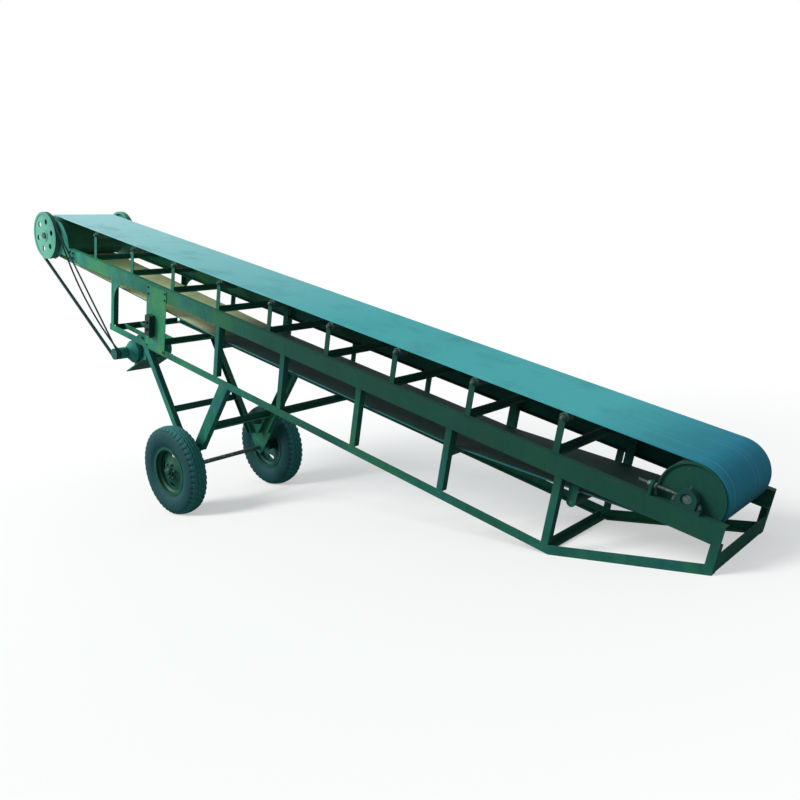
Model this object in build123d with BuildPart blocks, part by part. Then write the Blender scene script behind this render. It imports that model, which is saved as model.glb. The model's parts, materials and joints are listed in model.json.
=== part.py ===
"""Portable belt conveyor: an inclined truss on two road wheels, with a flat belt,
nine idler frames, a head drum driven by two V-belts, and a screw take-up at the tail.

Frame: +X runs towards the tail, -Y is the drive side, +Z is up, the floor is z = 0
and the origin lies under the middle of the whole machine.
Along the incline, s is the distance from the head drum's axis towards the tail and
n is the height square to the incline above the line of that axis.
"""
import os
from math import acos, atan2, cos, hypot, pi, radians, sin, tan

from build123d import *

os.makedirs("parts", exist_ok=True)

# Whole machine
incline_deg = 20
tail_foot_height = 155
drum_centres = 7020
frame_width = 800
tail_overhang = 230
run_gap = 0.3
bore_gap = 0.05
running_gap = 6

# Belt and drums
belt_edge = 15
belt_thick = 10
head_drum_dia = 400
drum_side_gap = 60
drum_wall = 10
end_disc_thick = 12
end_disc_recess = 12
head_shaft_dia = 60
tail_shaft_dia = 50
drum_hub_wall = 20

# Stringers, lower chords and posts
stringer_depth = 120
stringer_flange = 52
stringer_wall = 6
stringer_root = 6
stringer_top = -50
stringer_start = 410
chord_depth = 60
chord_wall = 6
chord_bottom = -675
chord_start = 1225
post_width = 50
post_wall = 6
panel_start = 1270
mitre_gap = 6
panel_count = 7
switch_panel = 1
front_bar_at = 1860
knee_gusset = 200
skid_depth = 60
end_plate_height = 110
end_plate_thick = 8

# Idlers and rollers
idler_start = 860
idler_end_gap = 824
idler_count = 9
idler_post_width = 45
idler_bar_depth = 45
idler_bar_wall = 5
roller_dia = 60
roller_wall = 5
roller_recess = 8
roller_shaft_dia = 20
return_panels = (2, 5)
return_drop = 304
catch_roller_gap = 660
catch_roller_drop = 312
bracket_thick = 8
bracket_width = 62

# Head end
head_plate_thick = 8
head_plate_front = 110
head_plate_top = 172
head_plate_bottom = 148
head_plate_lobe = 224
head_plate_lap = 115
shaft_hole_gap = 4
bearing_square = 130
bearing_corner = 18
bearing_flange = 14
bearing_boss_dia = 104
pulley_dia = 480
pulley_width = 44
pulley_rim = 24
pulley_web = 12
pulley_face_recess = 4
pulley_hub_dia = 120
pulley_hole_dia = 56
pulley_hole_circle = 290
pulley_hole_count = 6
groove_pitch = 19
groove_width = 17
groove_depth = 14
groove_half_deg = 19
shaft_overhang = 14

# Tail end
pillow_height = 60
pillow_length = 170
pillow_depth = 50
pillow_foot = 18
pillow_ring_dia = 112
pillow_bolt_dia = 34
pillow_bolt_height = 12
pillow_cap_recess = 8
takeup_screw_dia = 20
takeup_screw_length = 230
takeup_reach = 210
takeup_lug_thick = 16
takeup_nut_flats = 32
takeup_nut_height = 18

# Motor drive
motor_at = 1393
motor_drop = 202
motor_tilt_deg = 15.9
motor_dia = 220
motor_front = 250
motor_length = 320
motor_bell = 32
motor_fin_height = 14
motor_fin_thick = 5
motor_fin_count = 30
motor_nose_dia = 112
motor_nose_start = 62
motor_nose_gap = 8
motor_cowl_length = 70
motor_cowl_step = 4
motor_shaft_dia = 28
motor_pulley_dia = 110
motor_foot_height = 127
motor_foot_width = 190
motor_foot_length = 45
motor_foot_thick = 14
terminal_box_width = 100
terminal_box_length = 90
terminal_box_top = 152
terminal_lid_thick = 8
terminal_lid_lip = 5
plate_free_end = 224
plate_hinge_at = 200
plate_thick = 10
hinge_barrel_dia = 34
hinge_pin_dia = 20
hinge_length = 160
rail_depth = 50
hanger_width = 50
hanger_thick = 8
v_belt_height = 11
slack_radius = 2600

# Wheels and legs
wheel_at = 1945
tyre_dia = 810
tyre_width = 180
wheel_gap = 66
bead_inset = 25
shoulder_inset = 24
shoulder_drop = 14
rim_dia = 406
rim_lip = 22
rim_wall = 6
rim_well_depth = 16
rim_well_width = 50
disc_dish = 44
disc_wall = 8
hand_hole_circle = 290
hand_hole_length = 84
hand_hole_width = 38
hand_hole_start_deg = -20
hub_dia = 96
hub_outer = 66
hub_inner = 60
hub_cap_dia = 72
hub_cap_length = 20
hub_cap_wall = 4
axle_dia = 40
axle_collar_dia = 62
axle_collar_width = 20
front_leg_at = 1860
rear_leg_at = 3060
front_leg_width = 63
rear_leg_width = 110
leg_depth = 52
leg_wall = 6
leg_foot_above_hub = 150
front_bar_above_hub = 492
rear_bar_above_hub = 316
front_bar_size = 56
rear_bar_size = 66
hub_plate_dia = 116
hub_plate_lap = 80
hub_plate_thick = 10

# Switch
switch_plate_at = 1870
switch_plate_width = 310
switch_plate_thick = 5
switch_plate_inset = 20
switch_box_at = 62
switch_box_drop = 524
switch_box_width = 84
switch_box_height = 196
switch_box_depth = 36
switch_lid_depth = 20
switch_lid_inset = 4
switch_corner = 8
gland_dia = 26
gland_length = 22

slope_sin = sin(radians(incline_deg))
slope_cos = cos(radians(incline_deg))
half_frame = frame_width / 2
head_r = head_drum_dia / 2
tail_n = stringer_top + pillow_height
tail_drum_r = head_r - tail_n
stringer_end = drum_centres + tail_overhang
stringer_bottom = stringer_top - stringer_depth
head_height = tail_foot_height + stringer_end * slope_sin - stringer_bottom * slope_cos
drum_length = frame_width - 2 * drum_side_gap
belt_width = drum_length - 2 * belt_edge
wheel_track = frame_width + 2 * wheel_gap + tyre_width
motor_below = chord_bottom - motor_drop

# The machine reaches from the pulley's rim to the tail's last point: its middle is x = 0
tail_belt_reach = drum_centres * slope_cos + tail_n * slope_sin + tail_drum_r + run_gap + belt_thick
stringer_reach = stringer_end * slope_cos + stringer_top * slope_sin
head_x = (pulley_dia / 2 - max(tail_belt_reach, stringer_reach)) / 2
wheel_x = head_x + wheel_at
wheel_r = tyre_dia / 2


def at(s, n):
    """The (x, z) of a point s along the incline and n above the head axis line."""
    return (
        head_x + s * slope_cos + n * slope_sin,
        head_height - s * slope_sin + n * slope_cos,
    )


def run(s0, s1, n0, n1):
    """The four corners of a strip along the incline."""
    return [at(s0, n0), at(s1, n0), at(s1, n1), at(s0, n1)]


def drop(s, height):
    """The point square below s on the incline, at a height above the floor."""
    return at(s, (height - head_height + s * slope_sin) / slope_cos)


def spread(first, last, count):
    """Evenly spaced places along the incline."""
    return [first + (last - first) * k / (count - 1) for k in range(count)]


def across(s):
    """The plane square to the incline at s: its axes are y and n."""
    x, z = at(s, 0)
    return Plane((x, 0, z), x_dir=(0, 1, 0), z_dir=(slope_cos, 0, -slope_sin))


def upright(s, n):
    """The plane along the incline at height n: its axes are the distance from s, and y."""
    x, z = at(s, n)
    return Plane((x, 0, z), x_dir=(slope_cos, 0, -slope_sin), z_dir=(slope_sin, 0, slope_cos))


def turned(centre, y):
    """The plane for a turned piece's profile: its axes are the distance from y, and the radius."""
    return Plane((centre[0], y, centre[1]), x_dir=(0, 1, 0), z_dir=(1, 0, 0))


def spin_axis(centre):
    """The axis across the machine through a centre."""
    return Axis((centre[0], 0, centre[1]), (0, 1, 0))


def side_face(points):
    """A closed outline in the open side sketch."""
    return Polygon(*points, align=None)


def angle_bar(s, low, width, wall):
    """An angle's outline in the open side sketch: one leg ahead, the other along its foot."""
    side_face(run(s - width / 2, s - width / 2 + wall, low, low + width))
    side_face(run(s - width / 2, s + width / 2, low, low + wall))


def save(part, name):
    """Labels a finished piece and writes it under its own name."""
    part.label = name
    export_step(part, "parts/" + name + ".step")


def save_pair(near, name):
    """Writes the drive side piece and its mirror image on the other side."""
    save(near, name + "_near")
    with BuildPart() as far:
        mirror(near, about=Plane.XZ)
    save(far.part, name + "_far")


# Stringer: a channel with its web outside
with BuildPart() as stringer:
    with BuildSketch(across(stringer_start)) as channel:
        with Locations((-half_frame, stringer_bottom)):
            Rectangle(stringer_flange, stringer_depth, align=(Align.MIN, Align.MIN))
        with Locations((-half_frame + stringer_wall, stringer_bottom + stringer_wall)):
            Rectangle(stringer_flange, stringer_depth - 2 * stringer_wall,
                      align=(Align.MIN, Align.MIN), mode=Mode.SUBTRACT)
        fillet(channel.vertices().group_by(Axis.X)[1], stringer_root)
    extrude(amount=stringer_end - stringer_start)
save_pair(stringer.part, "stringer")


def floor_hit(n, height):
    """How far along the incline the line at n comes down to a height above the floor."""
    return (head_height - height + n * slope_cos) / slope_sin


# Lower chord: an angle that comes down to the floor, mitred to the skid
chord_top = chord_bottom + chord_depth
kink_low = floor_hit(chord_bottom, 0)
kink_high = floor_hit(chord_top, skid_depth)
mitre_share = chord_wall / chord_depth
kink_inner = kink_low + (kink_high - kink_low) * mitre_share
with BuildPart() as chord:
    with BuildSketch(Plane.XZ.offset(half_frame - chord_wall)):
        side_face([at(chord_start, chord_bottom), at(kink_low, chord_bottom),
                   at(kink_high, chord_top), at(chord_start, chord_top)])
    extrude(amount=chord_wall)
    with BuildSketch(Plane.XZ.offset(half_frame - post_width)):
        side_face([at(chord_start, chord_bottom), at(kink_low, chord_bottom),
                   at(kink_inner, chord_bottom + chord_wall), at(chord_start, chord_bottom + chord_wall)])
    extrude(amount=post_width)
save_pair(chord.part, "lower_chord")

# Skid: the flat end of the chord that lies on the floor, cut square to the incline
kink_low_x = at(kink_low, chord_bottom)[0]
kink_high_x = at(kink_high, chord_top)[0]
kink_inner_x = kink_low_x + (kink_high_x - kink_low_x) * mitre_share
with BuildPart() as skid:
    with BuildSketch(Plane.XZ.offset(half_frame - chord_wall)):
        side_face([(kink_low_x, 0), drop(stringer_end, 0), drop(stringer_end, skid_depth),
                   (kink_high_x, skid_depth)])
    extrude(amount=chord_wall)
    with BuildSketch(Plane.XZ.offset(half_frame - post_width)):
        side_face([(kink_low_x, 0), drop(stringer_end, 0), drop(stringer_end, chord_wall),
                   (kink_inner_x, chord_wall)])
    extrude(amount=post_width)
save_pair(skid.part, "skid")

# Tail end: an angle from each stringer's tip to the skid, and the plate between the feet
post_back = stringer_end - post_wall
with BuildPart() as end_posts:
    with BuildSketch(Plane.XZ.offset(half_frame - post_wall)):
        side_face([at(stringer_end - post_width, stringer_bottom), at(stringer_end, stringer_bottom),
                   drop(stringer_end, skid_depth), drop(stringer_end - post_width, skid_depth)])
    extrude(amount=post_wall)
    with BuildSketch(Plane.XZ.offset(half_frame - post_width)):
        side_face([at(post_back, stringer_bottom), at(stringer_end, stringer_bottom),
                   drop(stringer_end, end_plate_height), drop(post_back, end_plate_height)])
    extrude(amount=post_width)
    mirror(about=Plane.XZ)
save(end_posts.part, "tail_end_posts")

plate_back = stringer_end - end_plate_thick
with BuildPart() as end_plate:
    with BuildSketch(Plane.XZ.offset(-half_frame + post_wall)):
        side_face([drop(plate_back, chord_wall), drop(stringer_end, chord_wall),
                   drop(stringer_end, end_plate_height), drop(plate_back, end_plate_height)])
    extrude(amount=frame_width - 2 * post_wall)
save(end_plate.part, "tail_end_plate")

# Truss posts: angles square to the incline, the first with a knee gusset under the stringer
panel_points = spread(panel_start, kink_high - post_width / 2 - mitre_gap, panel_count)
knee_s = panel_points[0] + post_width / 2
for side, skip in (("near", switch_panel), ("far", None)):
    with BuildPart() as posts:
        for k, s in enumerate(panel_points):
            if k == skip:
                continue
            with BuildSketch(upright(s, chord_top)):
                with Locations((-post_width / 2, -half_frame)):
                    Rectangle(post_width, post_wall, align=(Align.MIN, Align.MIN))
                with Locations((post_width / 2 - post_wall, -half_frame)):
                    Rectangle(post_wall, post_width, align=(Align.MIN, Align.MIN))
            extrude(amount=stringer_bottom - chord_top)
        with BuildSketch(Plane.XZ.offset(half_frame - post_wall)):
            side_face(run(knee_s, knee_s + knee_gusset, stringer_bottom - knee_gusset, stringer_bottom))
            with Locations(at(knee_s + knee_gusset, stringer_bottom - knee_gusset)):
                Circle(knee_gusset, mode=Mode.SUBTRACT)
        extrude(amount=post_wall)
    if side == "near":
        save(posts.part, "truss_posts_near")
    else:
        with BuildPart() as far_posts:
            mirror(posts.part, about=Plane.XZ)
        save(far_posts.part, "truss_posts_far")

# Cross bars between the two lower chords
cross_bar_at = (panel_points[0], front_bar_at, panel_points[3], panel_points[6])
with BuildPart() as cross_bars:
    with BuildSketch(Plane.XZ.offset(-half_frame + post_width)):
        for s in cross_bar_at:
            angle_bar(s, chord_bottom, post_width, post_wall)
    extrude(amount=frame_width - 2 * post_width)
save(cross_bars.part, "truss_cross_bars")

# Idler frames: flat posts with round tops on the stringers, and an angle between their feet
idler_points = spread(idler_start, drum_centres - idler_end_gap, idler_count)
roller_n = head_r - roller_dia / 2
with BuildPart() as idler_posts:
    for s in idler_points:
        with BuildSketch(Plane.XZ.offset(half_frame - stringer_flange)):
            side_face(run(s - idler_post_width / 2, s + idler_post_width / 2, stringer_top, roller_n))
            with Locations(at(s, roller_n)):
                Circle(idler_post_width / 2)
                Circle(roller_shaft_dia / 2 + bore_gap, mode=Mode.SUBTRACT)
        extrude(amount=post_wall)
save_pair(idler_posts.part, "idler_posts")

with BuildPart() as idler_bars:
    with BuildSketch(Plane.XZ.offset(-half_frame + stringer_flange)):
        for s in idler_points:
            angle_bar(s, stringer_top - idler_bar_depth / 2, idler_bar_depth, idler_bar_wall)
    extrude(amount=frame_width - 2 * stringer_flange)
save(idler_bars.part, "idler_foot_bars")


def roller_face(shell_half, shaft_half):
    """The profile of a roller with recessed ends on its shaft, in the open sketch."""
    shell_r, inner_r, shaft_r = roller_dia / 2, roller_dia / 2 - roller_wall, roller_shaft_dia / 2
    floor = shell_half - roller_recess
    side_face([(-shaft_half, 0), (-shaft_half, shaft_r), (-floor, shaft_r), (-floor, inner_r),
               (-shell_half, inner_r), (-shell_half, shell_r), (shell_half, shell_r),
               (shell_half, inner_r), (floor, inner_r), (floor, shaft_r),
               (shaft_half, shaft_r), (shaft_half, 0)])


idler_shaft_half = half_frame - stringer_flange + post_wall
with BuildPart() as rollers:
    for s in idler_points:
        with BuildSketch(turned(at(s, roller_n), 0)):
            roller_face(half_frame - stringer_flange - running_gap, idler_shaft_half)
        revolve(axis=spin_axis(at(s, roller_n)))
save(rollers.part, "carrying_rollers")

# Return rollers: two under the lower strand behind truss posts, and a lower one near the tail
return_n = -return_drop - belt_thick - run_gap - roller_dia / 2
return_rows = [(panel_points[k], return_n) for k in return_panels]
return_rows.append((drum_centres - catch_roller_gap, -catch_roller_drop))
with BuildPart() as brackets:
    for s, n in return_rows:
        with BuildSketch(Plane.XZ.offset(half_frame - stringer_flange - bracket_thick)):
            side_face(run(s - bracket_width / 2, s + bracket_width / 2, n, stringer_top - stringer_wall))
            with Locations(at(s, n)):
                Circle(bracket_width / 2)
                Circle(roller_shaft_dia / 2 + bore_gap, mode=Mode.SUBTRACT)
        extrude(amount=bracket_thick)
    mirror(about=Plane.XZ)
save(brackets.part, "return_brackets")

bracket_inner = half_frame - stringer_flange - bracket_thick
with BuildPart() as return_rollers:
    for s, n in return_rows:
        with BuildSketch(turned(at(s, n), 0)):
            roller_face(bracket_inner - running_gap, bracket_inner + bracket_thick)
        revolve(axis=spin_axis(at(s, n)))
save(return_rollers.part, "return_rollers")

# Belt: a loop round both drums whose lower strand hangs on the first two return rollers
head_centre = at(0, 0)
tail_centre = at(drum_centres, tail_n)
with BuildPart() as belt:
    for skin, mode in ((belt_thick, Mode.ADD), (0, Mode.SUBTRACT)):
        with BuildSketch(Plane.XZ.offset(-belt_width / 2)):
            with Locations(head_centre):
                Circle(head_r + run_gap + skin)
            with Locations(tail_centre):
                Circle(tail_drum_r + run_gap + skin)
            for k in return_panels:
                with Locations(at(panel_points[k], -return_drop + roller_dia / 2)):
                    Circle(roller_dia / 2 + skin)
            make_hull()
        extrude(amount=belt_width, mode=mode)
save(belt.part, "belt")


def drum(centre, radius, shaft_dia):
    """A tube with recessed end discs and hubs for its shaft, turned from one half's outline."""
    half = drum_length / 2
    disc_out = half - end_disc_recess
    disc_in = disc_out - end_disc_thick
    bore_r = shaft_dia / 2 + bore_gap
    hub_r = shaft_dia / 2 + drum_hub_wall
    inner_r = radius - drum_wall
    with BuildPart() as body:
        with BuildSketch(turned(centre, 0)):
            side_face([(0, inner_r), (disc_in, inner_r), (disc_in, bore_r), (half, bore_r), (half, hub_r),
                       (disc_out, hub_r), (disc_out, inner_r), (half, inner_r), (half, radius), (0, radius)])
            mirror(about=Plane.YZ)
        revolve(axis=spin_axis(centre))
    return body.part


def shaft(centre, dia, half_length):
    """A plain round bar across the machine."""
    with BuildPart() as bar:
        with BuildSketch(Plane.XZ.offset(-half_length)):
            with Locations(centre):
                Circle(dia / 2)
        extrude(amount=2 * half_length)
    return bar.part


pulley_inner = half_frame + running_gap
pulley_y = pulley_inner + pulley_width / 2
pulley_outer = pulley_inner + pulley_width
save(drum(head_centre, head_r, head_shaft_dia), "head_drum")
save(shaft(head_centre, head_shaft_dia, pulley_outer + shaft_overhang), "head_shaft")
save(drum(tail_centre, tail_drum_r, tail_shaft_dia), "tail_drum")
save(shaft(tail_centre, tail_shaft_dia, half_frame - pillow_cap_recess), "tail_shaft")

# V-belt grooves: straight flanks that narrow towards their floor
flank = tan(radians(groove_half_deg))
groove_floor = groove_width - 2 * groove_depth * flank
groove_rows = (-groove_pitch / 2, groove_pitch / 2)


def cut_grooves(dia):
    """Cuts the V grooves out of a rim in the open profile sketch."""
    for middle in groove_rows:
        Polygon((middle - groove_width / 2, dia / 2), (middle + groove_width / 2, dia / 2),
                (middle + groove_floor / 2, dia / 2 - groove_depth),
                (middle - groove_floor / 2, dia / 2 - groove_depth), align=None, mode=Mode.SUBTRACT)


# Driven pulley: a grooved rim, a web with six round holes and a hub, and its twin on the far side
rim_inner_r = pulley_dia / 2 - pulley_rim
web_out = -pulley_width / 2 + pulley_face_recess
with BuildPart() as pulley:
    with BuildSketch(turned(head_centre, -pulley_y)):
        with Locations((-pulley_width / 2, rim_inner_r)):
            Rectangle(pulley_width, pulley_rim, align=(Align.MIN, Align.MIN))
        with Locations((web_out, head_shaft_dia / 2 + bore_gap)):
            Rectangle(pulley_web, rim_inner_r - head_shaft_dia / 2, align=(Align.MIN, Align.MIN))
        with Locations((-pulley_width / 2, head_shaft_dia / 2 + bore_gap)):
            Rectangle(pulley_width, (pulley_hub_dia - head_shaft_dia) / 2, align=(Align.MIN, Align.MIN))
        cut_grooves(pulley_dia)
    revolve(axis=spin_axis(head_centre))
    with BuildSketch(Plane.XZ.offset(pulley_inner)):
        with Locations(head_centre):
            with PolarLocations(pulley_hole_circle / 2, pulley_hole_count):
                Circle(pulley_hole_dia / 2)
    extrude(amount=pulley_width, mode=Mode.SUBTRACT)
save(pulley.part, "drive_pulley")
with BuildPart() as far_pulley:
    mirror(pulley.part, about=Plane.XZ)
save(far_pulley.part, "far_pulley")

# Head plates carry the bearings ahead of the stringers and lap inside their webs
plate_arc = (240, 350, stringer_start - stringer_wall)
plate_seat = stringer_top - stringer_wall - stringer_root
with BuildPart() as head_plate:
    with BuildSketch(Plane.XZ.offset(half_frame - stringer_wall - head_plate_thick)):
        with BuildLine():
            Polyline(at(plate_arc[2], plate_seat), at(stringer_start + head_plate_lap, plate_seat),
                     at(stringer_start + head_plate_lap, -head_plate_bottom),
                     at(pulley_dia / 2, -head_plate_bottom), at(head_plate_front, -head_plate_lobe),
                     at(-head_plate_front / 2, -head_plate_lobe), at(-head_plate_front, -head_plate_bottom),
                     at(-head_plate_front, head_plate_top - head_plate_front / 2),
                     at(-head_plate_front / 2, head_plate_top), at(plate_arc[0], head_plate_top))
            ThreePointArc(at(plate_arc[0], head_plate_top), at(plate_arc[1], head_plate_top / 2),
                          at(plate_arc[2], plate_seat))
        make_face()
        with Locations(head_centre):
            Circle(head_shaft_dia / 2 + shaft_hole_gap, mode=Mode.SUBTRACT)
    extrude(amount=head_plate_thick)
save_pair(head_plate.part, "head_plate")

# Head bearings: square flanges with a round boss, inside the head plates
plate_inner = half_frame - stringer_wall - head_plate_thick
boss_start = drum_length / 2 + running_gap
with BuildPart() as head_bearings:
    with BuildSketch(Plane.XZ.offset(plate_inner - bearing_flange)):
        with Locations(head_centre):
            RectangleRounded(bearing_square, bearing_square, bearing_corner, rotation=-incline_deg)
            Circle(head_shaft_dia / 2 + bore_gap, mode=Mode.SUBTRACT)
    extrude(amount=bearing_flange)
    with BuildSketch(Plane.XZ.offset(boss_start)):
        with Locations(head_centre):
            Circle(bearing_boss_dia / 2)
            Circle(head_shaft_dia / 2 + bore_gap, mode=Mode.SUBTRACT)
    extrude(amount=plate_inner - bearing_flange - boss_start)
    mirror(about=Plane.XZ)
save(head_bearings.part, "head_bearings")

# Tail bearings slide on the stringers' top flanges: a ring on a foot with two bolt bosses
takeup_y = half_frame - pillow_depth / 2
foot_bolt = (pillow_length - pillow_bolt_dia) / 2
with BuildPart() as tail_bearings:
    with BuildSketch(Plane.XZ.offset(half_frame - pillow_depth)):
        with Locations(tail_centre):
            Circle(pillow_ring_dia / 2)
        side_face(run(drum_centres - pillow_ring_dia / 2, drum_centres + pillow_ring_dia / 2,
                      stringer_top, stringer_top + pillow_foot))
        make_hull()
        side_face(run(drum_centres - pillow_length / 2, drum_centres + pillow_length / 2,
                      stringer_top, stringer_top + pillow_foot))
        with Locations(tail_centre):
            Circle(tail_shaft_dia / 2 + bore_gap, mode=Mode.SUBTRACT)
    extrude(amount=pillow_depth)
    with BuildSketch(Plane.XZ.offset(half_frame - pillow_cap_recess)):
        with Locations(tail_centre):
            Circle(tail_shaft_dia / 2 + pillow_cap_recess)
    extrude(amount=pillow_cap_recess, mode=Mode.SUBTRACT)
    with BuildSketch(upright(drum_centres, stringer_top + pillow_foot)):
        with Locations((-foot_bolt, -takeup_y), (foot_bolt, -takeup_y)):
            Circle(pillow_bolt_dia / 2)
    extrude(amount=pillow_bolt_height)
    mirror(about=Plane.XZ)
save(tail_bearings.part, "tail_bearings")

# Take-up: a lug with a round top on each stringer, and the screw and nuts that push the bearing
takeup_lug_at = drum_centres - takeup_reach
lug_r = pillow_depth / 2
with BuildPart() as takeup_lugs:
    for y in (-takeup_y, takeup_y):
        with BuildSketch(across(takeup_lug_at)):
            with Locations((y, stringer_top)):
                Rectangle(pillow_depth, pillow_height, align=(Align.CENTER, Align.MIN))
            with Locations((y, tail_n)):
                Circle(lug_r)
                Circle(takeup_screw_dia / 2 + bore_gap, mode=Mode.SUBTRACT)
        extrude(amount=takeup_lug_thick)
save(takeup_lugs.part, "takeup_lugs")

screw_end = drum_centres - pillow_ring_dia / 2 - run_gap
nut_rows = (takeup_lug_at - takeup_nut_height - run_gap, takeup_lug_at + takeup_lug_thick + run_gap)
with BuildPart() as takeup_screws:
    for y in (-takeup_y, takeup_y):
        with BuildSketch(across(screw_end - takeup_screw_length)):
            with Locations((y, tail_n)):
                Circle(takeup_screw_dia / 2)
        extrude(amount=takeup_screw_length)
        for s in nut_rows:
            with BuildSketch(across(s)):
                with Locations((y, tail_n)):
                    RegularPolygon(takeup_nut_flats / 2, 6, major_radius=False)
            extrude(amount=takeup_nut_height)
save(takeup_screws.part, "takeup_screws")

# Motor: it stands on a plate that is hinged at its tail side, and its weight pulls the V-belts tight
motor_centre = at(motor_at, motor_below)
tilt_sin = sin(radians(motor_tilt_deg))
tilt_cos = cos(radians(motor_tilt_deg))
motor_r = motor_dia / 2
motor_rear = motor_front - motor_length
nose_end = pulley_inner - motor_nose_gap


def by_motor(u, v):
    """The (x, z) of a point u along the motor's plate and v square to it, from the motor's axis."""
    return (motor_centre[0] + u * tilt_cos - v * tilt_sin, motor_centre[1] + u * tilt_sin + v * tilt_cos)


def motor_block(u0, u1, v0, v1):
    """The four corners of a block square to the motor's plate."""
    return [by_motor(u0, v0), by_motor(u1, v0), by_motor(u1, v1), by_motor(u0, v1)]


with BuildPart() as motor:
    with BuildSketch(turned(motor_centre, 0)):
        with BuildLine():
            Polyline((-nose_end, 0), (-nose_end, motor_nose_dia / 2),
                     (-motor_front - motor_nose_start, motor_nose_dia / 2))
            ThreePointArc((-motor_front - motor_nose_start, motor_nose_dia / 2),
                          (-motor_front - motor_nose_start / 4, motor_r - motor_bell / 2),
                          (-motor_front, motor_r))
            Polyline((-motor_front, motor_r), (-motor_front + motor_bell, motor_r),
                     (-motor_front + motor_bell, motor_r - motor_fin_height),
                     (-motor_rear - motor_bell, motor_r - motor_fin_height),
                     (-motor_rear - motor_bell, motor_r),
                     (-motor_rear, motor_r), (-motor_rear, motor_r + motor_cowl_step),
                     (-motor_rear + motor_cowl_length - motor_bell, motor_r + motor_cowl_step))
            ThreePointArc((-motor_rear + motor_cowl_length - motor_bell, motor_r + motor_cowl_step),
                          (-motor_rear + motor_cowl_length - motor_bell / 4, motor_r - motor_bell / 4),
                          (-motor_rear + motor_cowl_length, motor_r - motor_bell))
            Polyline((-motor_rear + motor_cowl_length, motor_r - motor_bell),
                     (-motor_rear + motor_cowl_length, 0), (-nose_end, 0))
        make_face()
    revolve(axis=spin_axis(motor_centre))
    with BuildSketch(Plane.XZ.offset(motor_rear + motor_bell)):
        with Locations(Location(motor_centre, motor_tilt_deg)):
            with PolarLocations(motor_r - motor_fin_height / 2 - run_gap, motor_fin_count):
                Rectangle(motor_fin_height, motor_fin_thick)
    extrude(amount=motor_length - 2 * motor_bell)
    for y in (motor_front - motor_bell - motor_foot_length, motor_rear + motor_bell):
        with BuildSketch(Plane.XZ.offset(y)):
            side_face(motor_block(-motor_foot_width / 2, motor_foot_width / 2,
                                  -motor_foot_height, -motor_foot_height + motor_foot_thick))
            side_face([by_motor(-motor_foot_width / 2, -motor_foot_height + motor_foot_thick),
                       by_motor(motor_foot_width / 2, -motor_foot_height + motor_foot_thick),
                       by_motor(motor_foot_width / 3, -motor_r / 2),
                       by_motor(-motor_foot_width / 3, -motor_r / 2)])
        extrude(amount=motor_foot_length)
    box_middle = motor_front - motor_length / 2
    for u, low, top, length in (
        (terminal_box_width / 2, motor_r / 2, terminal_box_top, terminal_box_length),
        (terminal_box_width / 2 + terminal_lid_lip, terminal_box_top, terminal_box_top + terminal_lid_thick,
         terminal_box_length + 2 * terminal_lid_lip),
    ):
        with BuildSketch(Plane.XZ.offset(box_middle - length / 2)):
            side_face(motor_block(-u, u, low, top))
        extrude(amount=length)
save(motor.part, "motor")

# Motor plate: it lies under the feet, and its hinge pin hangs on two flat bars from two rails
hinge_centre = by_motor(plate_hinge_at, -motor_foot_height - plate_thick / 2)
hinge_s = (hinge_centre[0] - head_x) * slope_cos - (hinge_centre[1] - head_height) * slope_sin
hinge_n = (hinge_centre[0] - head_x) * slope_sin + (hinge_centre[1] - head_height) * slope_cos
plate_edge = plate_hinge_at - hanger_width / 2 - running_gap
hinge_inner = motor_front - hinge_length
hanger_rows = (motor_front + run_gap, hinge_inner - run_gap - hanger_thick)
rail_low = chord_bottom + post_wall
rail_front = panel_points[0] - post_width / 2 + post_wall
rail_back = front_bar_at - post_width / 2
with BuildPart() as motor_base:
    with BuildSketch(Plane.XZ.offset(motor_rear)):
        side_face(motor_block(-plate_free_end, plate_edge,
                              -motor_foot_height - plate_thick, -motor_foot_height))
    extrude(amount=motor_length)
    with BuildSketch(Plane.XZ.offset(hinge_inner)):
        side_face(motor_block(plate_edge, plate_hinge_at,
                              -motor_foot_height - plate_thick, -motor_foot_height))
        with Locations(hinge_centre):
            Circle(hinge_barrel_dia / 2)
    extrude(amount=hinge_length)
    with BuildSketch(Plane.XZ.offset(hanger_rows[1])):
        with Locations(hinge_centre):
            Circle(hinge_pin_dia / 2)
    extrude(amount=hanger_rows[0] + hanger_thick - hanger_rows[1])
    for y in hanger_rows:
        with BuildSketch(Plane.XZ.offset(y)):
            side_face(run(hinge_s - hanger_width / 2, hinge_s + hanger_width / 2,
                          hinge_n, chord_bottom + rail_depth))
            side_face(run(rail_front, rail_back, rail_low, chord_bottom + rail_depth))
            with Locations(hinge_centre):
                Circle(hanger_width / 2)
        extrude(amount=hanger_thick)
save(motor_base.part, "motor_base")

# Motor pulley: two grooves, on the stub of shaft that shows between it and the motor
with BuildPart() as motor_pulley:
    with BuildSketch(turned(motor_centre, -pulley_y)):
        with Locations((-pulley_width / 2, 0)):
            Rectangle(pulley_width, motor_pulley_dia / 2, align=(Align.MIN, Align.MIN))
        with Locations((pulley_width / 2, 0)):
            Rectangle(motor_nose_gap - run_gap, motor_shaft_dia / 2, align=(Align.MIN, Align.MIN))
        cut_grooves(motor_pulley_dia)
    revolve(axis=spin_axis(motor_centre))
save(motor_pulley.part, "motor_pulley")

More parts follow.
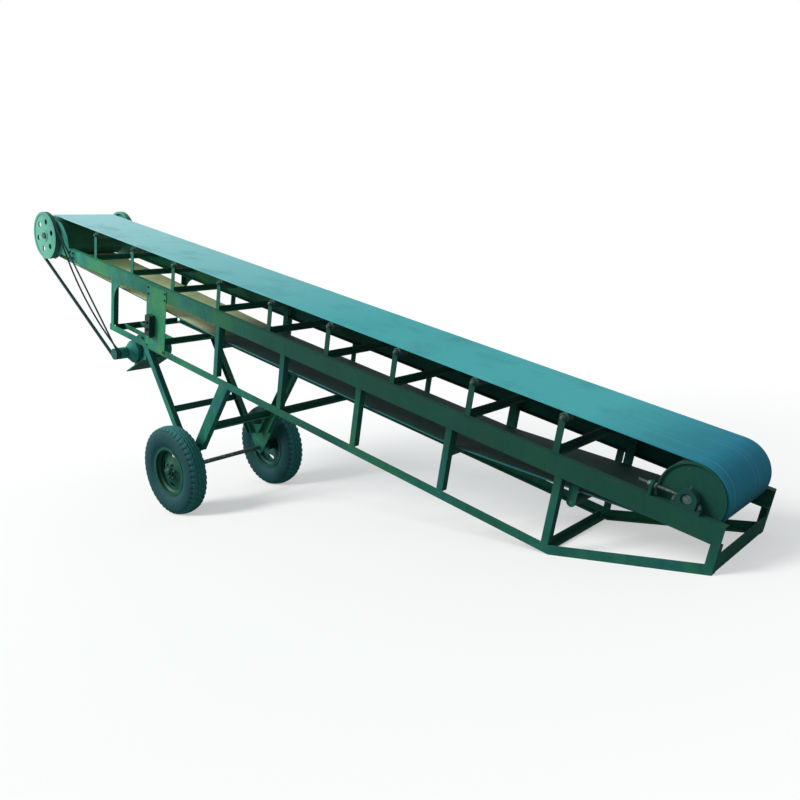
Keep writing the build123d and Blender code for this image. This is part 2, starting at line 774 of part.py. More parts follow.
# V-belts: the outer one runs taut, the inner one is slack and its upper strand bows inwards
drive_span = hypot(motor_centre[0] - head_centre[0], motor_centre[1] - head_centre[1])
drive_angle = atan2(motor_centre[1] - head_centre[1], motor_centre[0] - head_centre[0])
big_r = pulley_dia / 2
small_r = motor_pulley_dia / 2
taut_angle = acos((big_r - small_r) / drive_span)
bow_a, bow_b = slack_radius + big_r, slack_radius + small_r
slack_big = acos((drive_span ** 2 + bow_a ** 2 - bow_b ** 2) / (2 * drive_span * bow_a))
slack_small = atan2(bow_a * sin(slack_big), bow_a * cos(slack_big) - drive_span)


def rim_point(centre, radius, angle):
    """The point of a circle at an angle from the line between the two pulleys."""
    return (centre[0] + radius * cos(drive_angle + angle), centre[1] + radius * sin(drive_angle + angle))


bow_centre = rim_point(head_centre, bow_a, slack_big)
belt_top = groove_width / 2 - run_gap
belt_foot = belt_top - v_belt_height * flank
start_angle = drive_angle - taut_angle
with BuildPart() as v_belts:
    for middle, upper_big, upper_small in (
        (groove_rows[0], taut_angle, taut_angle),
        (groove_rows[1], slack_big, slack_small),
    ):
        belt_y = -pulley_y + middle
        start = rim_point(head_centre, big_r, -taut_angle)
        upper_start = rim_point(head_centre, big_r, upper_big)
        upper_end = rim_point(motor_centre, small_r, upper_small)
        lower_end = rim_point(motor_centre, small_r, -taut_angle)
        with BuildLine(Plane.XZ.offset(-belt_y)):
            ThreePointArc(start, rim_point(head_centre, big_r, pi + (upper_big - taut_angle) / 2),
                          upper_start)
            if upper_big == taut_angle:
                Line(upper_start, upper_end)
            else:
                ThreePointArc(upper_start,
                              rim_point(bow_centre, -slack_radius, (upper_big + upper_small) / 2),
                              upper_end)
            ThreePointArc(upper_end, rim_point(motor_centre, small_r, (upper_small - taut_angle) / 2),
                          lower_end)
            Line(lower_end, start)
        with BuildSketch(Plane((start[0], belt_y, start[1]), x_dir=(0, 1, 0),
                               z_dir=(sin(start_angle), 0, -cos(start_angle)))):
            Polygon((-belt_top, 0), (belt_top, 0), (belt_foot, -v_belt_height), (-belt_foot, -v_belt_height),
                    align=None)
        sweep()
save(v_belts.part, "v_belts")

# Switch plate between stringer and chord, and the switch box with its lid and cable gland
with BuildPart() as switch_plate:
    with BuildSketch(Plane.XZ.offset(half_frame)):
        side_face(run(switch_plate_at, switch_plate_at + switch_plate_width,
                      chord_bottom + switch_plate_inset, stringer_top - switch_plate_inset))
    extrude(amount=switch_plate_thick)
save(switch_plate.part, "switch_plate")

box_y = half_frame + switch_plate_thick
box_middle_s = switch_plate_at + switch_box_at + switch_box_width / 2
box_centre = at(box_middle_s, -switch_box_drop + switch_box_height / 2)
with BuildPart() as switch_box:
    with BuildSketch(Plane.XZ.offset(box_y)):
        with Locations(box_centre):
            RectangleRounded(switch_box_width, switch_box_height, switch_corner, rotation=-incline_deg)
    extrude(amount=switch_box_depth)
    with BuildSketch(Plane.XZ.offset(box_y + switch_box_depth)):
        with Locations(box_centre):
            RectangleRounded(switch_box_width - 2 * switch_lid_inset,
                             switch_box_height - 2 * switch_lid_inset,
                             switch_corner - switch_lid_inset, rotation=-incline_deg)
    extrude(amount=switch_lid_depth)
    with BuildSketch(upright(box_middle_s, -switch_box_drop - gland_length)):
        with Locations((0, -box_y - switch_box_depth / 2)):
            Circle(gland_dia / 2)
    extrude(amount=gland_length)
save(switch_box.part, "switch_box")

# Legs: channels from under each lower chord towards the hub, a slim front one and a stout rear one
leg_foot = wheel_r + leg_foot_above_hub
leg_rows = (("front", front_leg_at, front_leg_width), ("rear", rear_leg_at, rear_leg_width))


def leg_point(s_top, offset, height):
    """A point beside a leg's middle line, to its tail side by an offset, at a height."""
    top_x, top_z = at(s_top, chord_bottom)
    length = hypot(wheel_x - top_x, wheel_r - top_z)
    side_x, side_z = (top_z - wheel_r) / length * offset, (wheel_x - top_x) / length * offset
    share = (height - top_z - side_z) / (wheel_r - top_z)
    return (top_x + side_x + (wheel_x - top_x) * share, height)


def leg_strip(s_top, left, right):
    """Corners of a strip beside a leg's middle line, from the chord's underside to the leg's foot."""
    corners = []
    for offset in (left, right):
        low_x, low_z = leg_point(s_top, offset, leg_foot)
        high_x, high_z = leg_point(s_top, offset, head_height)
        miss_low = (low_x - head_x) * slope_sin + (low_z - head_height) * slope_cos - chord_bottom
        miss_high = (high_x - head_x) * slope_sin + (high_z - head_height) * slope_cos - chord_bottom
        share = miss_low / (miss_low - miss_high)
        ends = [(low_x + (high_x - low_x) * share, low_z + (high_z - low_z) * share), (low_x, low_z)]
        corners += ends if offset == left else ends[::-1]
    return corners


with BuildPart() as legs:
    for name, s_top, width in leg_rows:
        with BuildSketch(Plane.XZ.offset(half_frame - leg_wall)):
            side_face(leg_strip(s_top, -width / 2, width / 2))
        extrude(amount=leg_wall)
        with BuildSketch(Plane.XZ.offset(half_frame - leg_depth)):
            side_face(leg_strip(s_top, -width / 2, -width / 2 + leg_wall))
            side_face(leg_strip(s_top, width / 2 - leg_wall, width / 2))
        extrude(amount=leg_depth)
save_pair(legs.part, "legs")

# Hub plates: outside each pair of legs, down to the axle
hub_centre = (wheel_x, wheel_r)
with BuildPart() as leg_brackets:
    with BuildSketch(Plane.XZ.offset(half_frame)):
        with Locations(hub_centre):
            Circle(hub_plate_dia / 2)
        side_face([leg_point(front_leg_at, -front_leg_width / 2, leg_foot),
                   leg_point(front_leg_at, -front_leg_width / 2, leg_foot + hub_plate_lap),
                   leg_point(rear_leg_at, rear_leg_width / 2, leg_foot + hub_plate_lap),
                   leg_point(rear_leg_at, rear_leg_width / 2, leg_foot)])
        make_hull()
        with Locations(hub_centre):
            Circle(axle_dia / 2 + bore_gap, mode=Mode.SUBTRACT)
    extrude(amount=hub_plate_thick)
    mirror(about=Plane.XZ)
save(leg_brackets.part, "leg_brackets")

with BuildPart() as leg_bars:
    for s_top, above_hub, size in (
        (front_leg_at, front_bar_above_hub, front_bar_size),
        (rear_leg_at, rear_bar_above_hub, rear_bar_size),
    ):
        height = wheel_r + above_hub
        bar_x = leg_point(s_top, 0, height)[0]
        with BuildSketch(Plane.XZ.offset(-half_frame + leg_depth)):
            with Locations((bar_x - size / 2, height)):
                Rectangle(post_wall, size, align=(Align.MIN, Align.MIN))
                Rectangle(size, post_wall, align=(Align.MIN, Align.MIN))
        extrude(amount=frame_width - 2 * leg_depth)
save(leg_bars.part, "leg_cross_bars")

# Axle: a round bar with a collar outside each hub plate
wheel_plane_y = -wheel_track / 2
axle_half = wheel_track / 2 + hub_outer
collar_in = half_frame + hub_plate_thick
with BuildPart() as axle:
    add(shaft(hub_centre, axle_dia, axle_half))
    for y in (collar_in, -collar_in - axle_collar_width):
        with BuildSketch(Plane.XZ.offset(y)):
            with Locations(hub_centre):
                Circle(axle_collar_dia / 2)
        extrude(amount=axle_collar_width)
save(axle.part, "axle")

# Tyre: rounded sidewalls and crown on a rim whose lips hold its beads
rim_r = rim_dia / 2
bead_half = tyre_width / 2 - bead_inset
shoulder_half = tyre_width / 2 - shoulder_inset
shoulder_r = wheel_r - shoulder_drop
bead_r = rim_r + rim_lip
widest_r = (bead_r + shoulder_r) / 2
with BuildPart() as tyre:
    with BuildSketch(turned(hub_centre, wheel_plane_y)):
        with BuildLine():
            Line((-bead_half, rim_r + run_gap), (-bead_half, bead_r))
            ThreePointArc((-bead_half, bead_r), (-tyre_width / 2, widest_r), (-shoulder_half, shoulder_r))
            ThreePointArc((-shoulder_half, shoulder_r), (0, wheel_r), (shoulder_half, shoulder_r))
            ThreePointArc((shoulder_half, shoulder_r), (tyre_width / 2, widest_r), (bead_half, bead_r))
            Polyline((bead_half, bead_r), (bead_half, rim_r + run_gap), (-bead_half, rim_r + run_gap))
        make_face()
    revolve(axis=spin_axis(hub_centre))
save_pair(tyre.part, "tyre")

# Rim: a drop-centre barrel, a dished disc with four hand holes, a hub and a cap over the axle's end
lip_in = bead_half + run_gap
lip_out = lip_in + rim_wall
well_r = rim_r - rim_well_depth
well_half = rim_well_width / 2
slope_half = well_half + rim_well_depth
disc_edge = -well_half / 2
disc_low = disc_edge - disc_dish
disc_bend = disc_edge - disc_dish / 3
disc_top = well_r - rim_wall / 2
disc_foot = hub_dia / 2 - disc_wall
disc_middle = (disc_top + disc_foot) / 2 - disc_wall
cap_in = -hub_outer - hub_cap_wall
cap_out = -hub_outer - hub_cap_length
with BuildPart() as rim:
    with BuildSketch(turned(hub_centre, wheel_plane_y)):
        side_face([(-lip_out, bead_r), (-lip_in, bead_r), (-lip_in, rim_r), (-slope_half, rim_r),
                   (-well_half, well_r), (well_half, well_r), (slope_half, rim_r), (lip_in, rim_r),
                   (lip_in, bead_r), (lip_out, bead_r), (lip_out, rim_r - rim_wall),
                   (slope_half + rim_wall, rim_r - rim_wall), (well_half + rim_wall, well_r - rim_wall),
                   (-well_half - rim_wall, well_r - rim_wall), (-slope_half - rim_wall, rim_r - rim_wall),
                   (-lip_out, rim_r - rim_wall)])
        with BuildLine():
            Line((disc_edge, disc_top), (disc_edge + disc_wall, disc_top))
            ThreePointArc((disc_edge + disc_wall, disc_top), (disc_bend + disc_wall, disc_middle),
                          (disc_low + disc_wall, disc_foot))
            Line((disc_low + disc_wall, disc_foot), (disc_low, disc_foot))
            ThreePointArc((disc_low, disc_foot), (disc_bend, disc_middle), (disc_edge, disc_top))
        make_face()
        with BuildLine():
            Polyline((cap_in, 0), (cap_in, axle_dia / 2 + bore_gap), (hub_inner, axle_dia / 2 + bore_gap),
                     (hub_inner, hub_dia / 2), (-hub_outer, hub_dia / 2), (-hub_outer, hub_cap_dia / 2),
                     (cap_in, hub_cap_dia / 2))
            ThreePointArc((cap_in, hub_cap_dia / 2), ((cap_in + 2 * cap_out) / 3, hub_cap_dia * 3 / 8),
                          (cap_out, hub_cap_dia / 5))
            Polyline((cap_out, hub_cap_dia / 5), (cap_out, 0), (cap_in, 0))
        make_face()
    revolve(axis=spin_axis(hub_centre))
    with BuildSketch(Plane.XZ.offset(-wheel_plane_y - disc_wall - well_half)):
        with Locations(Location(hub_centre, hand_hole_start_deg)):
            with PolarLocations(hand_hole_circle / 2, 4):
                SlotOverall(hand_hole_length, hand_hole_width, rotation=90)
    extrude(amount=disc_dish + rim_well_width, mode=Mode.SUBTRACT)
save_pair(rim.part, "rim")
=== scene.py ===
"""Portable belt conveyor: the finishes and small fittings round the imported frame.

Metres, +X towards the tail, -Y the drive side, +Z up, the floor at z = 0.
Along the incline, s is the distance from the head drum's axis towards the tail and
n is the height square to the incline above the line of that axis.
"""
import json
from math import cos, pi, radians, sin

import bpy
import numpy as np
from mathutils import Matrix, Vector


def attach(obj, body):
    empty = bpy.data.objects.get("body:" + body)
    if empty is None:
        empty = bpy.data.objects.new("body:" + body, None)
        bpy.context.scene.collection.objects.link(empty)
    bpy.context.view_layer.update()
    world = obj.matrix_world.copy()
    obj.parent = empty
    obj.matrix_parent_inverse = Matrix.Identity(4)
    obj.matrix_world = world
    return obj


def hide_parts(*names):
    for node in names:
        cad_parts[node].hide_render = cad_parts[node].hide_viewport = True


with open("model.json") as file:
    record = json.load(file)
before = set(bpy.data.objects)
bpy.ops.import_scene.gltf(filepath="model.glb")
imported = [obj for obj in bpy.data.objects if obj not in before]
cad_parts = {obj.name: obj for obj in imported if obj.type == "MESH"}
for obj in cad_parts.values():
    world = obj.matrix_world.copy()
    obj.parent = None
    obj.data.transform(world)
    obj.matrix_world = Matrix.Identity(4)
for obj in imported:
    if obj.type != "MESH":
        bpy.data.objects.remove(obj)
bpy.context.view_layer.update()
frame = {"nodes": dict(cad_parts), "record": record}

nodes = frame["nodes"]
joint_rows = {row["name"]: row for row in frame["record"]["behaviour"]["joints"]}
sides = ((-1, "near"), (1, "far"))

# Sizes that this script shares with the part's source. A _y is a distance from the machine's middle plane,
# and a _top, _bottom or _n is a height square to the incline.
incline = radians(20)
drum_centres = 7.02
half_frame = 0.4
stringer_top = -0.05
stringer_bottom = -0.17
chord_top = -0.615
chord_bottom = -0.675
idler_start = 0.86
idler_end_gap = 0.824
idler_count = 9
idler_shaft_y = 0.354
roller_n = 0.17
tail_n = 0.01
takeup_y = 0.375
front_leg_at = 1.86
rear_leg_at = 3.06
wheel_plane = 0.556
shoulder_r = 0.391
wheel_r = 0.405
motor_tilt = radians(15.9)

along = np.array((cos(incline), 0, -sin(incline)))
square = np.array((sin(incline), 0, cos(incline)))
across = np.array((0.0, 1.0, 0.0))
head = np.array(joint_rows["head_drum_spin"]["pos_m"])
motor_axis = np.array(joint_rows["motor_pulley_spin"]["pos_m"])
wheel_axis = np.array(joint_rows["wheel_near_spin"]["pos_m"])
head_line = float(head @ square)
idler_rows = np.linspace(idler_start, drum_centres - idler_end_gap, idler_count)


def at(s, n, y=0.0):
    """The place s along the incline, n square to it and y across the machine."""
    return head + s * along + n * square + y * across


def by_motor(u, v, y=0.0):
    """The place u along the motor's plate, v square to it and y across, from the motor's axis."""
    return (motor_axis + u * np.array((cos(motor_tilt), 0, sin(motor_tilt)))
            + v * np.array((-sin(motor_tilt), 0, cos(motor_tilt))) + y * across)


# Colours and the one node helper

def linear(hex_colour):
    """An sRGB hex colour as the linear red, green, blue and alpha that Blender's sockets take."""
    parts = [int(hex_colour[i:i + 2], 16) / 255 for i in (1, 3, 5)]
    return [p / 12.92 if p <= 0.04045 else ((p + 0.055) / 1.055) ** 2.4 for p in parts] + [1.0]


def add(tree, kind, inputs=None, **settings):
    """Adds a node. Settings are its properties. Inputs are its sockets' values, or the sockets that feed
    them."""
    made = tree.nodes.new(kind)
    for name, value in settings.items():
        setattr(made, name, value)
    for name, value in (inputs or {}).items():
        if isinstance(value, bpy.types.NodeSocket):
            tree.links.new(value, made.inputs[name])
        else:
            made.inputs[name].default_value = value
    return made


def new_material(name):
    """An empty node material and its tree."""
    material = bpy.data.materials.new(name)
    material.use_nodes = True
    material.node_tree.nodes.clear()
    return material, material.node_tree


# Camera: the photograph's view, found by fitting about fifty points of the photograph. The focal length is
# 809.93 pixels of a picture 800 pixels wide.
camera_from_axle = Vector((6.4384, -4.4063, 1.1975))
camera_yaw = radians(-42.945)
camera_pitch = radians(6.592)
camera_roll = radians(-7.416)
focal_share = 809.93 / 800
sensor_mm = 36
farthest = 200


def make_camera():
    """The camera stands off the wheel axle and is turned by yaw, pitch and roll."""
    data = bpy.data.cameras.new("photo_camera")
    data.sensor_width = sensor_mm
    data.lens = sensor_mm * focal_share
    data.clip_end = farthest
    camera = bpy.data.objects.new("photo_camera", data)
    bpy.context.scene.collection.objects.link(camera)
    ahead = Vector((sin(camera_yaw) * cos(camera_pitch), cos(camera_yaw) * cos(camera_pitch),
                    -sin(camera_pitch)))
    level = Vector((cos(camera_yaw), -sin(camera_yaw), 0))
    upright = level.cross(ahead)
    right = cos(camera_roll) * level + sin(camera_roll) * upright
    top = cos(camera_roll) * upright - sin(camera_roll) * level
    turn = Matrix((right, top, -ahead)).transposed().to_4x4()
    camera.matrix_world = Matrix.Translation(Vector(wheel_axis) + camera_from_axle) @ turn
    bpy.context.scene.camera = camera


# Light: a white room for the eye, a broad sun from the upper left, and a weak fill
sky_strength = 0.38
floor_half = 90
fade_start = 2.5
fade_end = 7.0
near_white = 0.45


def make_world():
    """White where the camera, a reflection or a clear surface looks, and a dim sky for the light on all."""
    world = bpy.data.worlds.new("studio")
    bpy.context.scene.world = world
    world.use_nodes = True
    tree = world.node_tree
    tree.nodes.clear()
    path = add(tree, "ShaderNodeLightPath")
    seen = add(tree, "ShaderNodeMath", {0: path.outputs["Is Camera Ray"], 1: path.outputs["Is Glossy Ray"]},
               operation="MAXIMUM")
    seen = add(tree, "ShaderNodeMath", {0: seen.outputs[0], 1: path.outputs["Is Transmission Ray"]},
               operation="MAXIMUM")
    dim = add(tree, "ShaderNodeBackground", {"Color": linear("#E6F0F6"), "Strength": sky_strength})
    bright = add(tree, "ShaderNodeBackground", {"Color": linear("#FFFFFF"), "Strength": 1.0})
    mixed = add(tree, "ShaderNodeMixShader", {0: seen.outputs[0], 1: dim.outputs[0], 2: bright.outputs[0]})
    add(tree, "ShaderNodeOutputWorld", {"Surface": mixed.outputs[0]})


def lamp(name, kind, place, aim, energy, colour, **shape):
    """A lamp at a place, turned to its aim. Shape gives the size of an area lamp or the angle of a sun."""
    data = bpy.data.lights.new(name, kind)
    data.energy = energy
    data.color = linear(colour)[:3]
    for setting, value in shape.items():
        setattr(data, setting, value)
    made = bpy.data.objects.new(name, data)
    bpy.context.scene.collection.objects.link(made)
    made.location = place
    made.rotation_euler = (Vector(aim) - Vector(place)).to_track_quat("-Z", "Y").to_euler()


def make_floor():
    """A wide pale floor that keeps the object's shadow. For the eye it is nearly half white by the object,
    which thins the shadow, and turns all white between the start and the end of its fade. Other rays meet a
    grey floor, so that it throws less light up."""
    corners = [(-1, -1), (1, -1), (1, 1), (-1, 1)]
    mesh = bpy.data.meshes.new("floor")
    mesh.from_pydata([(x * floor_half, y * floor_half, 0) for x, y in corners], [], [(0, 1, 2, 3)])
    floor = bpy.data.objects.new("floor", mesh)
    bpy.context.scene.collection.objects.link(floor)
    material, tree = new_material("pale_floor")
    path = add(tree, "ShaderNodeLightPath")
    place = add(tree, "ShaderNodeTexCoord").outputs["Object"]
    away = add(tree, "ShaderNodeVectorMath", {0: place}, operation="LENGTH").outputs["Value"]
    fade = add(tree, "ShaderNodeMapRange", {"Value": away, "From Min": fade_start, "From Max": fade_end,
                                            "To Min": near_white},
               interpolation_type="SMOOTHSTEP").outputs["Result"]
    pale = add(tree, "ShaderNodeBsdfDiffuse", {"Color": linear("#FAFBFB")})
    white = add(tree, "ShaderNodeEmission", {"Color": linear("#FFFFFF"), "Strength": 1.0})
    shade = add(tree, "ShaderNodeBsdfDiffuse", {"Color": linear("#8C9494")})
    seen = add(tree, "ShaderNodeMixShader", {0: fade, 1: pale.outputs[0], 2: white.outputs[0]})
    mixed = add(tree, "ShaderNodeMixShader", {0: path.outputs["Is Camera Ray"], 1: shade.outputs[0],
                                              2: seen.outputs[0]})
    add(tree, "ShaderNodeOutputMaterial", {"Surface": mixed.outputs[0]})
    mesh.materials.append(material)


bpy.context.scene.view_settings.view_transform = "Standard"
make_camera()
make_world()
make_floor()
lamp("key_sun", "SUN", (-3.6, -5.0, 6.2), (0, 0, 0), 2.3, "#FFFEFA", angle=radians(24))
lamp("soft_key", "AREA", (-5.5, -7.5, 6.5), (0, 0, 1.2), 260, "#FFFFFF", size=5)
lamp("fill", "AREA", (7.5, -7.0, 3.0), (0.5, 0, 1.0), 60, "#EAF4FF", size=6)


# Finishes. A pattern's scale is one over its real size in metres.

bump_strength = 0.6

patch_scale = 1.9                # half a metre
touch_up_scale = 2.7             # 40 cm
hand_scale = 11.0                # 9 cm
run_scale = (34.0, 34.0, 2.4)    # rain runs 3 cm apart and 40 cm long
knock_scale = 75.0               # 13 mm, of which only the peaks show
brush_scale = 260.0              # brush marks of 4 mm, coarser than real ones so that they show
corner_reach = 0.05              # how far from a corner the painted shade reaches
edge_r = 0.0025                  # the radius that light finds on an edge
blue_touch_up = "#1C6F86"
yellow_touch_up = "#4A9A50"
# Painted light: the paler tint that the parts take at the head, and where it starts and is full
head_light_tint = "#8CE0C4"
head_light_start, head_light_full = -2.9, -3.3
# Painted shade: darker towards the tail along X, and most in the stringers' band of height
tail_shade_start, tail_shade_full = -2.8, 0.3
stringer_shade_low, stringer_shade_high = head_line - 0.34, head_line - 0.16
chip_share = 0.5

stain_scale = 2.6                # 40 cm
lane_scale = (1.2, 90.0, 1.2)    # scuffs lengthways, 11 mm wide and less
cloth_scale = 500.0              # the print of the ply, 2 mm
damp_stain = "#1C7078"
scuff_mark = "#6FC6C4"
# Near black: painted shade on the outer side of the lower strand, and the inner side from the legs down
near_black_green = "#0C332E"
# The inner side's cream near the head, and a duller cream in patches
inner_cream = "#FBFFD2"
inner_cream_patch = "#D8E9B4"
# Painted sheen: the belt pales from the middle towards the head
pale_end, middle_start = -3.3, 0.8
blue_start, blue_full = 2.7, 3.4
inner_dark_start, inner_dark_full = -1.25, -0.65
upper_strand, lower_strand = head_line + 0.1, head_line - 0.12

bloom_scale = 6.0                # 17 cm
tread_edge = 0.012               # the width over which the painted light on a tread sets in
fleck_scale = 55.0               # 2 cm
grain_scale = 700.0              # 1.4 mm, coarser than drawing lines so that it shows


def finish(tree, inputs, height, depth=0.0005, bevel=None):
    """The closing shader of a material. Its normal comes from a height pattern of the given depth, laid
    over softened edges where there are any."""
    shader = add(tree, "ShaderNodeBsdfPrincipled", inputs)
    bump = add(tree, "ShaderNodeBump", {"Strength": bump_strength, "Distance": depth, "Height": height})
    if bevel is not None:
        tree.links.new(bevel, bump.inputs["Normal"])
    tree.links.new(bump.outputs["Normal"], shader.inputs["Normal"])
    add(tree, "ShaderNodeOutputMaterial", {"Surface": shader.outputs[0]})


def enamel(name, coat, light, dark, bare, roughness, shade=0.75, tail_shade=0.92, head_light=0.5, tinted=0.6):
    """Brushed synthetic enamel over red-brown primer on rolled steel: a satin coat with soft edge lights.
    It is mottled in patches half a metre and a hand wide, streaked by rain in runs 3 cm apart, touched up
    in places with a bluer and a yellower green, and paler at the head, which is painted light. It carries
    painted shade, duller and darker, in corners, on the sides that face the tail and the ground, and
    towards the tail, most of all on the stringers. Its edges are chipped to the primer, with knocks of a
    few millimetres between them."""
    material, tree = new_material(name)
    where = add(tree, "ShaderNodeTexCoord")
    place = where.outputs["Object"]
    axes = add(tree, "ShaderNodeSeparateXYZ", {0: place})
    facing = add(tree, "ShaderNodeSeparateXYZ", {0: where.outputs["Normal"]})

    # Mottling and rain streaks
    patch = add(tree, "ShaderNodeTexNoise", {"Vector": place, "Scale": patch_scale,
                                             "Detail": 3.0}).outputs["Fac"]
    hand = add(tree, "ShaderNodeTexNoise", {"Vector": place, "Scale": hand_scale, "Detail": 5.0,
                                            "Roughness": 0.62}).outputs["Fac"]
    pale = add(tree, "ShaderNodeMapRange", {"Value": hand, "From Min": 0.45, "From Max": 0.75,
                                            "To Max": 0.8}).outputs["Result"]
    deep = add(tree, "ShaderNodeMapRange", {"Value": patch, "From Min": 0.55, "From Max": 0.3,
                                            "To Max": 0.55}).outputs["Result"]
    colour = add(tree, "ShaderNodeMix", {"Factor": pale, "A": linear(coat), "B": linear(light)},
                 data_type="RGBA").outputs["Result"]
    runs = add(tree, "ShaderNodeMapping", {"Vector": place, "Scale": run_scale}).outputs["Vector"]
    runs = add(tree, "ShaderNodeTexNoise", {"Vector": runs, "Scale": 1.0, "Detail": 4.0}).outputs["Fac"]
    streaked = add(tree, "ShaderNodeMapRange", {"Value": runs, "From Min": 0.5, "From Max": 0.72,
                                                "To Max": 0.42}).outputs["Result"]
    colour = add(tree, "ShaderNodeMix", {"Factor": streaked, "A": colour, "B": linear(dark)},
                 data_type="RGBA").outputs["Result"]

    # Touch-ups in two tints, the deeper patches over them, and painted light at the head
    tints = add(tree, "ShaderNodeTexNoise", {"Vector": place, "Scale": touch_up_scale,
                                             "Detail": 4.0}).outputs["Color"]
    tints = add(tree, "ShaderNodeSeparateColor", {0: tints})
    for channel, tint in (("Red", blue_touch_up), ("Green", yellow_touch_up)):
        share = add(tree, "ShaderNodeMapRange", {"Value": tints.outputs[channel], "From Min": 0.5,
                                                 "From Max": 0.68, "To Max": tinted}).outputs["Result"]
        colour = add(tree, "ShaderNodeMix", {"Factor": share, "A": colour, "B": linear(tint)},
                     data_type="RGBA").outputs["Result"]
    colour = add(tree, "ShaderNodeMix", {"Factor": deep, "A": colour, "B": linear(dark)},
                 data_type="RGBA").outputs["Result"]
    # Painted light: paler towards the head
    head_light_share = add(tree, "ShaderNodeMapRange", {"Value": axes.outputs["X"], "From Min": head_light_start,
                                                "From Max": head_light_full,
                                                "To Max": head_light}).outputs["Result"]
    colour = add(tree, "ShaderNodeMix", {"Factor": head_light_share, "A": colour, "B": linear(head_light_tint)},
                 data_type="RGBA").outputs["Result"]

    # Painted shade: on the faces that look to the tail and to the ground, towards the tail, and in corners
    tailward = add(tree, "ShaderNodeMapRange", {"Value": facing.outputs["X"], "From Min": 0.3,
                                                "From Max": 0.85, "To Max": shade}).outputs["Result"]
    under = add(tree, "ShaderNodeMapRange", {"Value": facing.outputs["Z"], "From Min": -0.3,
                                             "From Max": -0.85, "To Max": shade}).outputs["Result"]
    painted_shade = add(tree, "ShaderNodeMath", {0: tailward, 1: under}, operation="MAXIMUM").outputs[0]
    # Painted shade towards the tail, strongest in the stringers' band of height
    tail_shading = add(tree, "ShaderNodeMapRange", {"Value": axes.outputs["X"], "From Min": tail_shade_start,
                                             "From Max": tail_shade_full,
                                             "To Max": tail_shade}).outputs["Result"]
    height = add(tree, "ShaderNodeVectorMath", {0: place, 1: tuple(square)},
                 operation="DOT_PRODUCT").outputs["Value"]
    stringer_weight = add(tree, "ShaderNodeMapRange", {"Value": height, "From Min": stringer_shade_low,
                                              "From Max": stringer_shade_high, "To Min": 0.72}).outputs["Result"]
    tail_shading = add(tree, "ShaderNodeMath", {0: tail_shading, 1: stringer_weight}, operation="MULTIPLY").outputs[0]
    painted_shade = add(tree, "ShaderNodeMath", {0: painted_shade, 1: tail_shading}, operation="MAXIMUM").outputs[0]
    # Painted shade in corners
    corner = add(tree, "ShaderNodeAmbientOcclusion", {"Distance": corner_reach}, samples=4).outputs["AO"]
    corner_shade = add(tree, "ShaderNodeMapRange", {"Value": corner, "From Min": 0.75, "From Max": 0.2,
                                             "To Max": 0.7}).outputs["Result"]
    painted_shade = add(tree, "ShaderNodeMath", {0: painted_shade, 1: corner_shade}, operation="MAXIMUM").outputs[0]
    colour = add(tree, "ShaderNodeMix", {"Factor": painted_shade, "A": colour, "B": linear(dark)},
                 data_type="RGBA").outputs["Result"]

    # Chips: where a softened edge's normal leaves the flat face's, and in small knocks
    bevel = add(tree, "ShaderNodeBevel", {"Radius": edge_r}, samples=4).outputs["Normal"]
    flat = add(tree, "ShaderNodeNewGeometry").outputs["Normal"]
    match = add(tree, "ShaderNodeVectorMath", {0: bevel, 1: flat}, operation="DOT_PRODUCT").outputs["Value"]
    edge = add(tree, "ShaderNodeMapRange", {"Value": match, "From Min": 0.985,
                                            "From Max": 0.9}).outputs["Result"]
    spots = add(tree, "ShaderNodeMapRange", {"Value": hand, "From Min": 0.52, "From Max": 0.6,
                                             "To Max": chip_share}).outputs["Result"]
    chip = add(tree, "ShaderNodeMath", {0: edge, 1: spots}, operation="MULTIPLY").outputs[0]
    knocks = add(tree, "ShaderNodeTexNoise", {"Vector": place, "Scale": knock_scale, "Detail": 3.0,
                                              "Roughness": 0.7}).outputs["Fac"]
    knocked = add(tree, "ShaderNodeMapRange", {"Value": knocks, "From Min": 0.65, "From Max": 0.68,
                                               "To Max": chip_share}).outputs["Result"]
    chip = add(tree, "ShaderNodeMath", {0: chip, 1: knocked}, operation="MAXIMUM").outputs[0]
    colour = add(tree, "ShaderNodeMix", {"Factor": chip, "A": colour, "B": linear(bare)},
                 data_type="RGBA").outputs["Result"]

    rough = add(tree, "ShaderNodeMapRange", {"Value": painted_shade, "To Min": roughness,
                                             "To Max": 0.8}).outputs["Result"]
    brushed = add(tree, "ShaderNodeTexNoise", {"Vector": place, "Scale": brush_scale,
                                               "Detail": 2.0}).outputs["Fac"]
    finish(tree, {"Base Color": colour, "Roughness": rough, "Specular IOR Level": 0.24}, brushed,
           bevel=bevel)
    return material


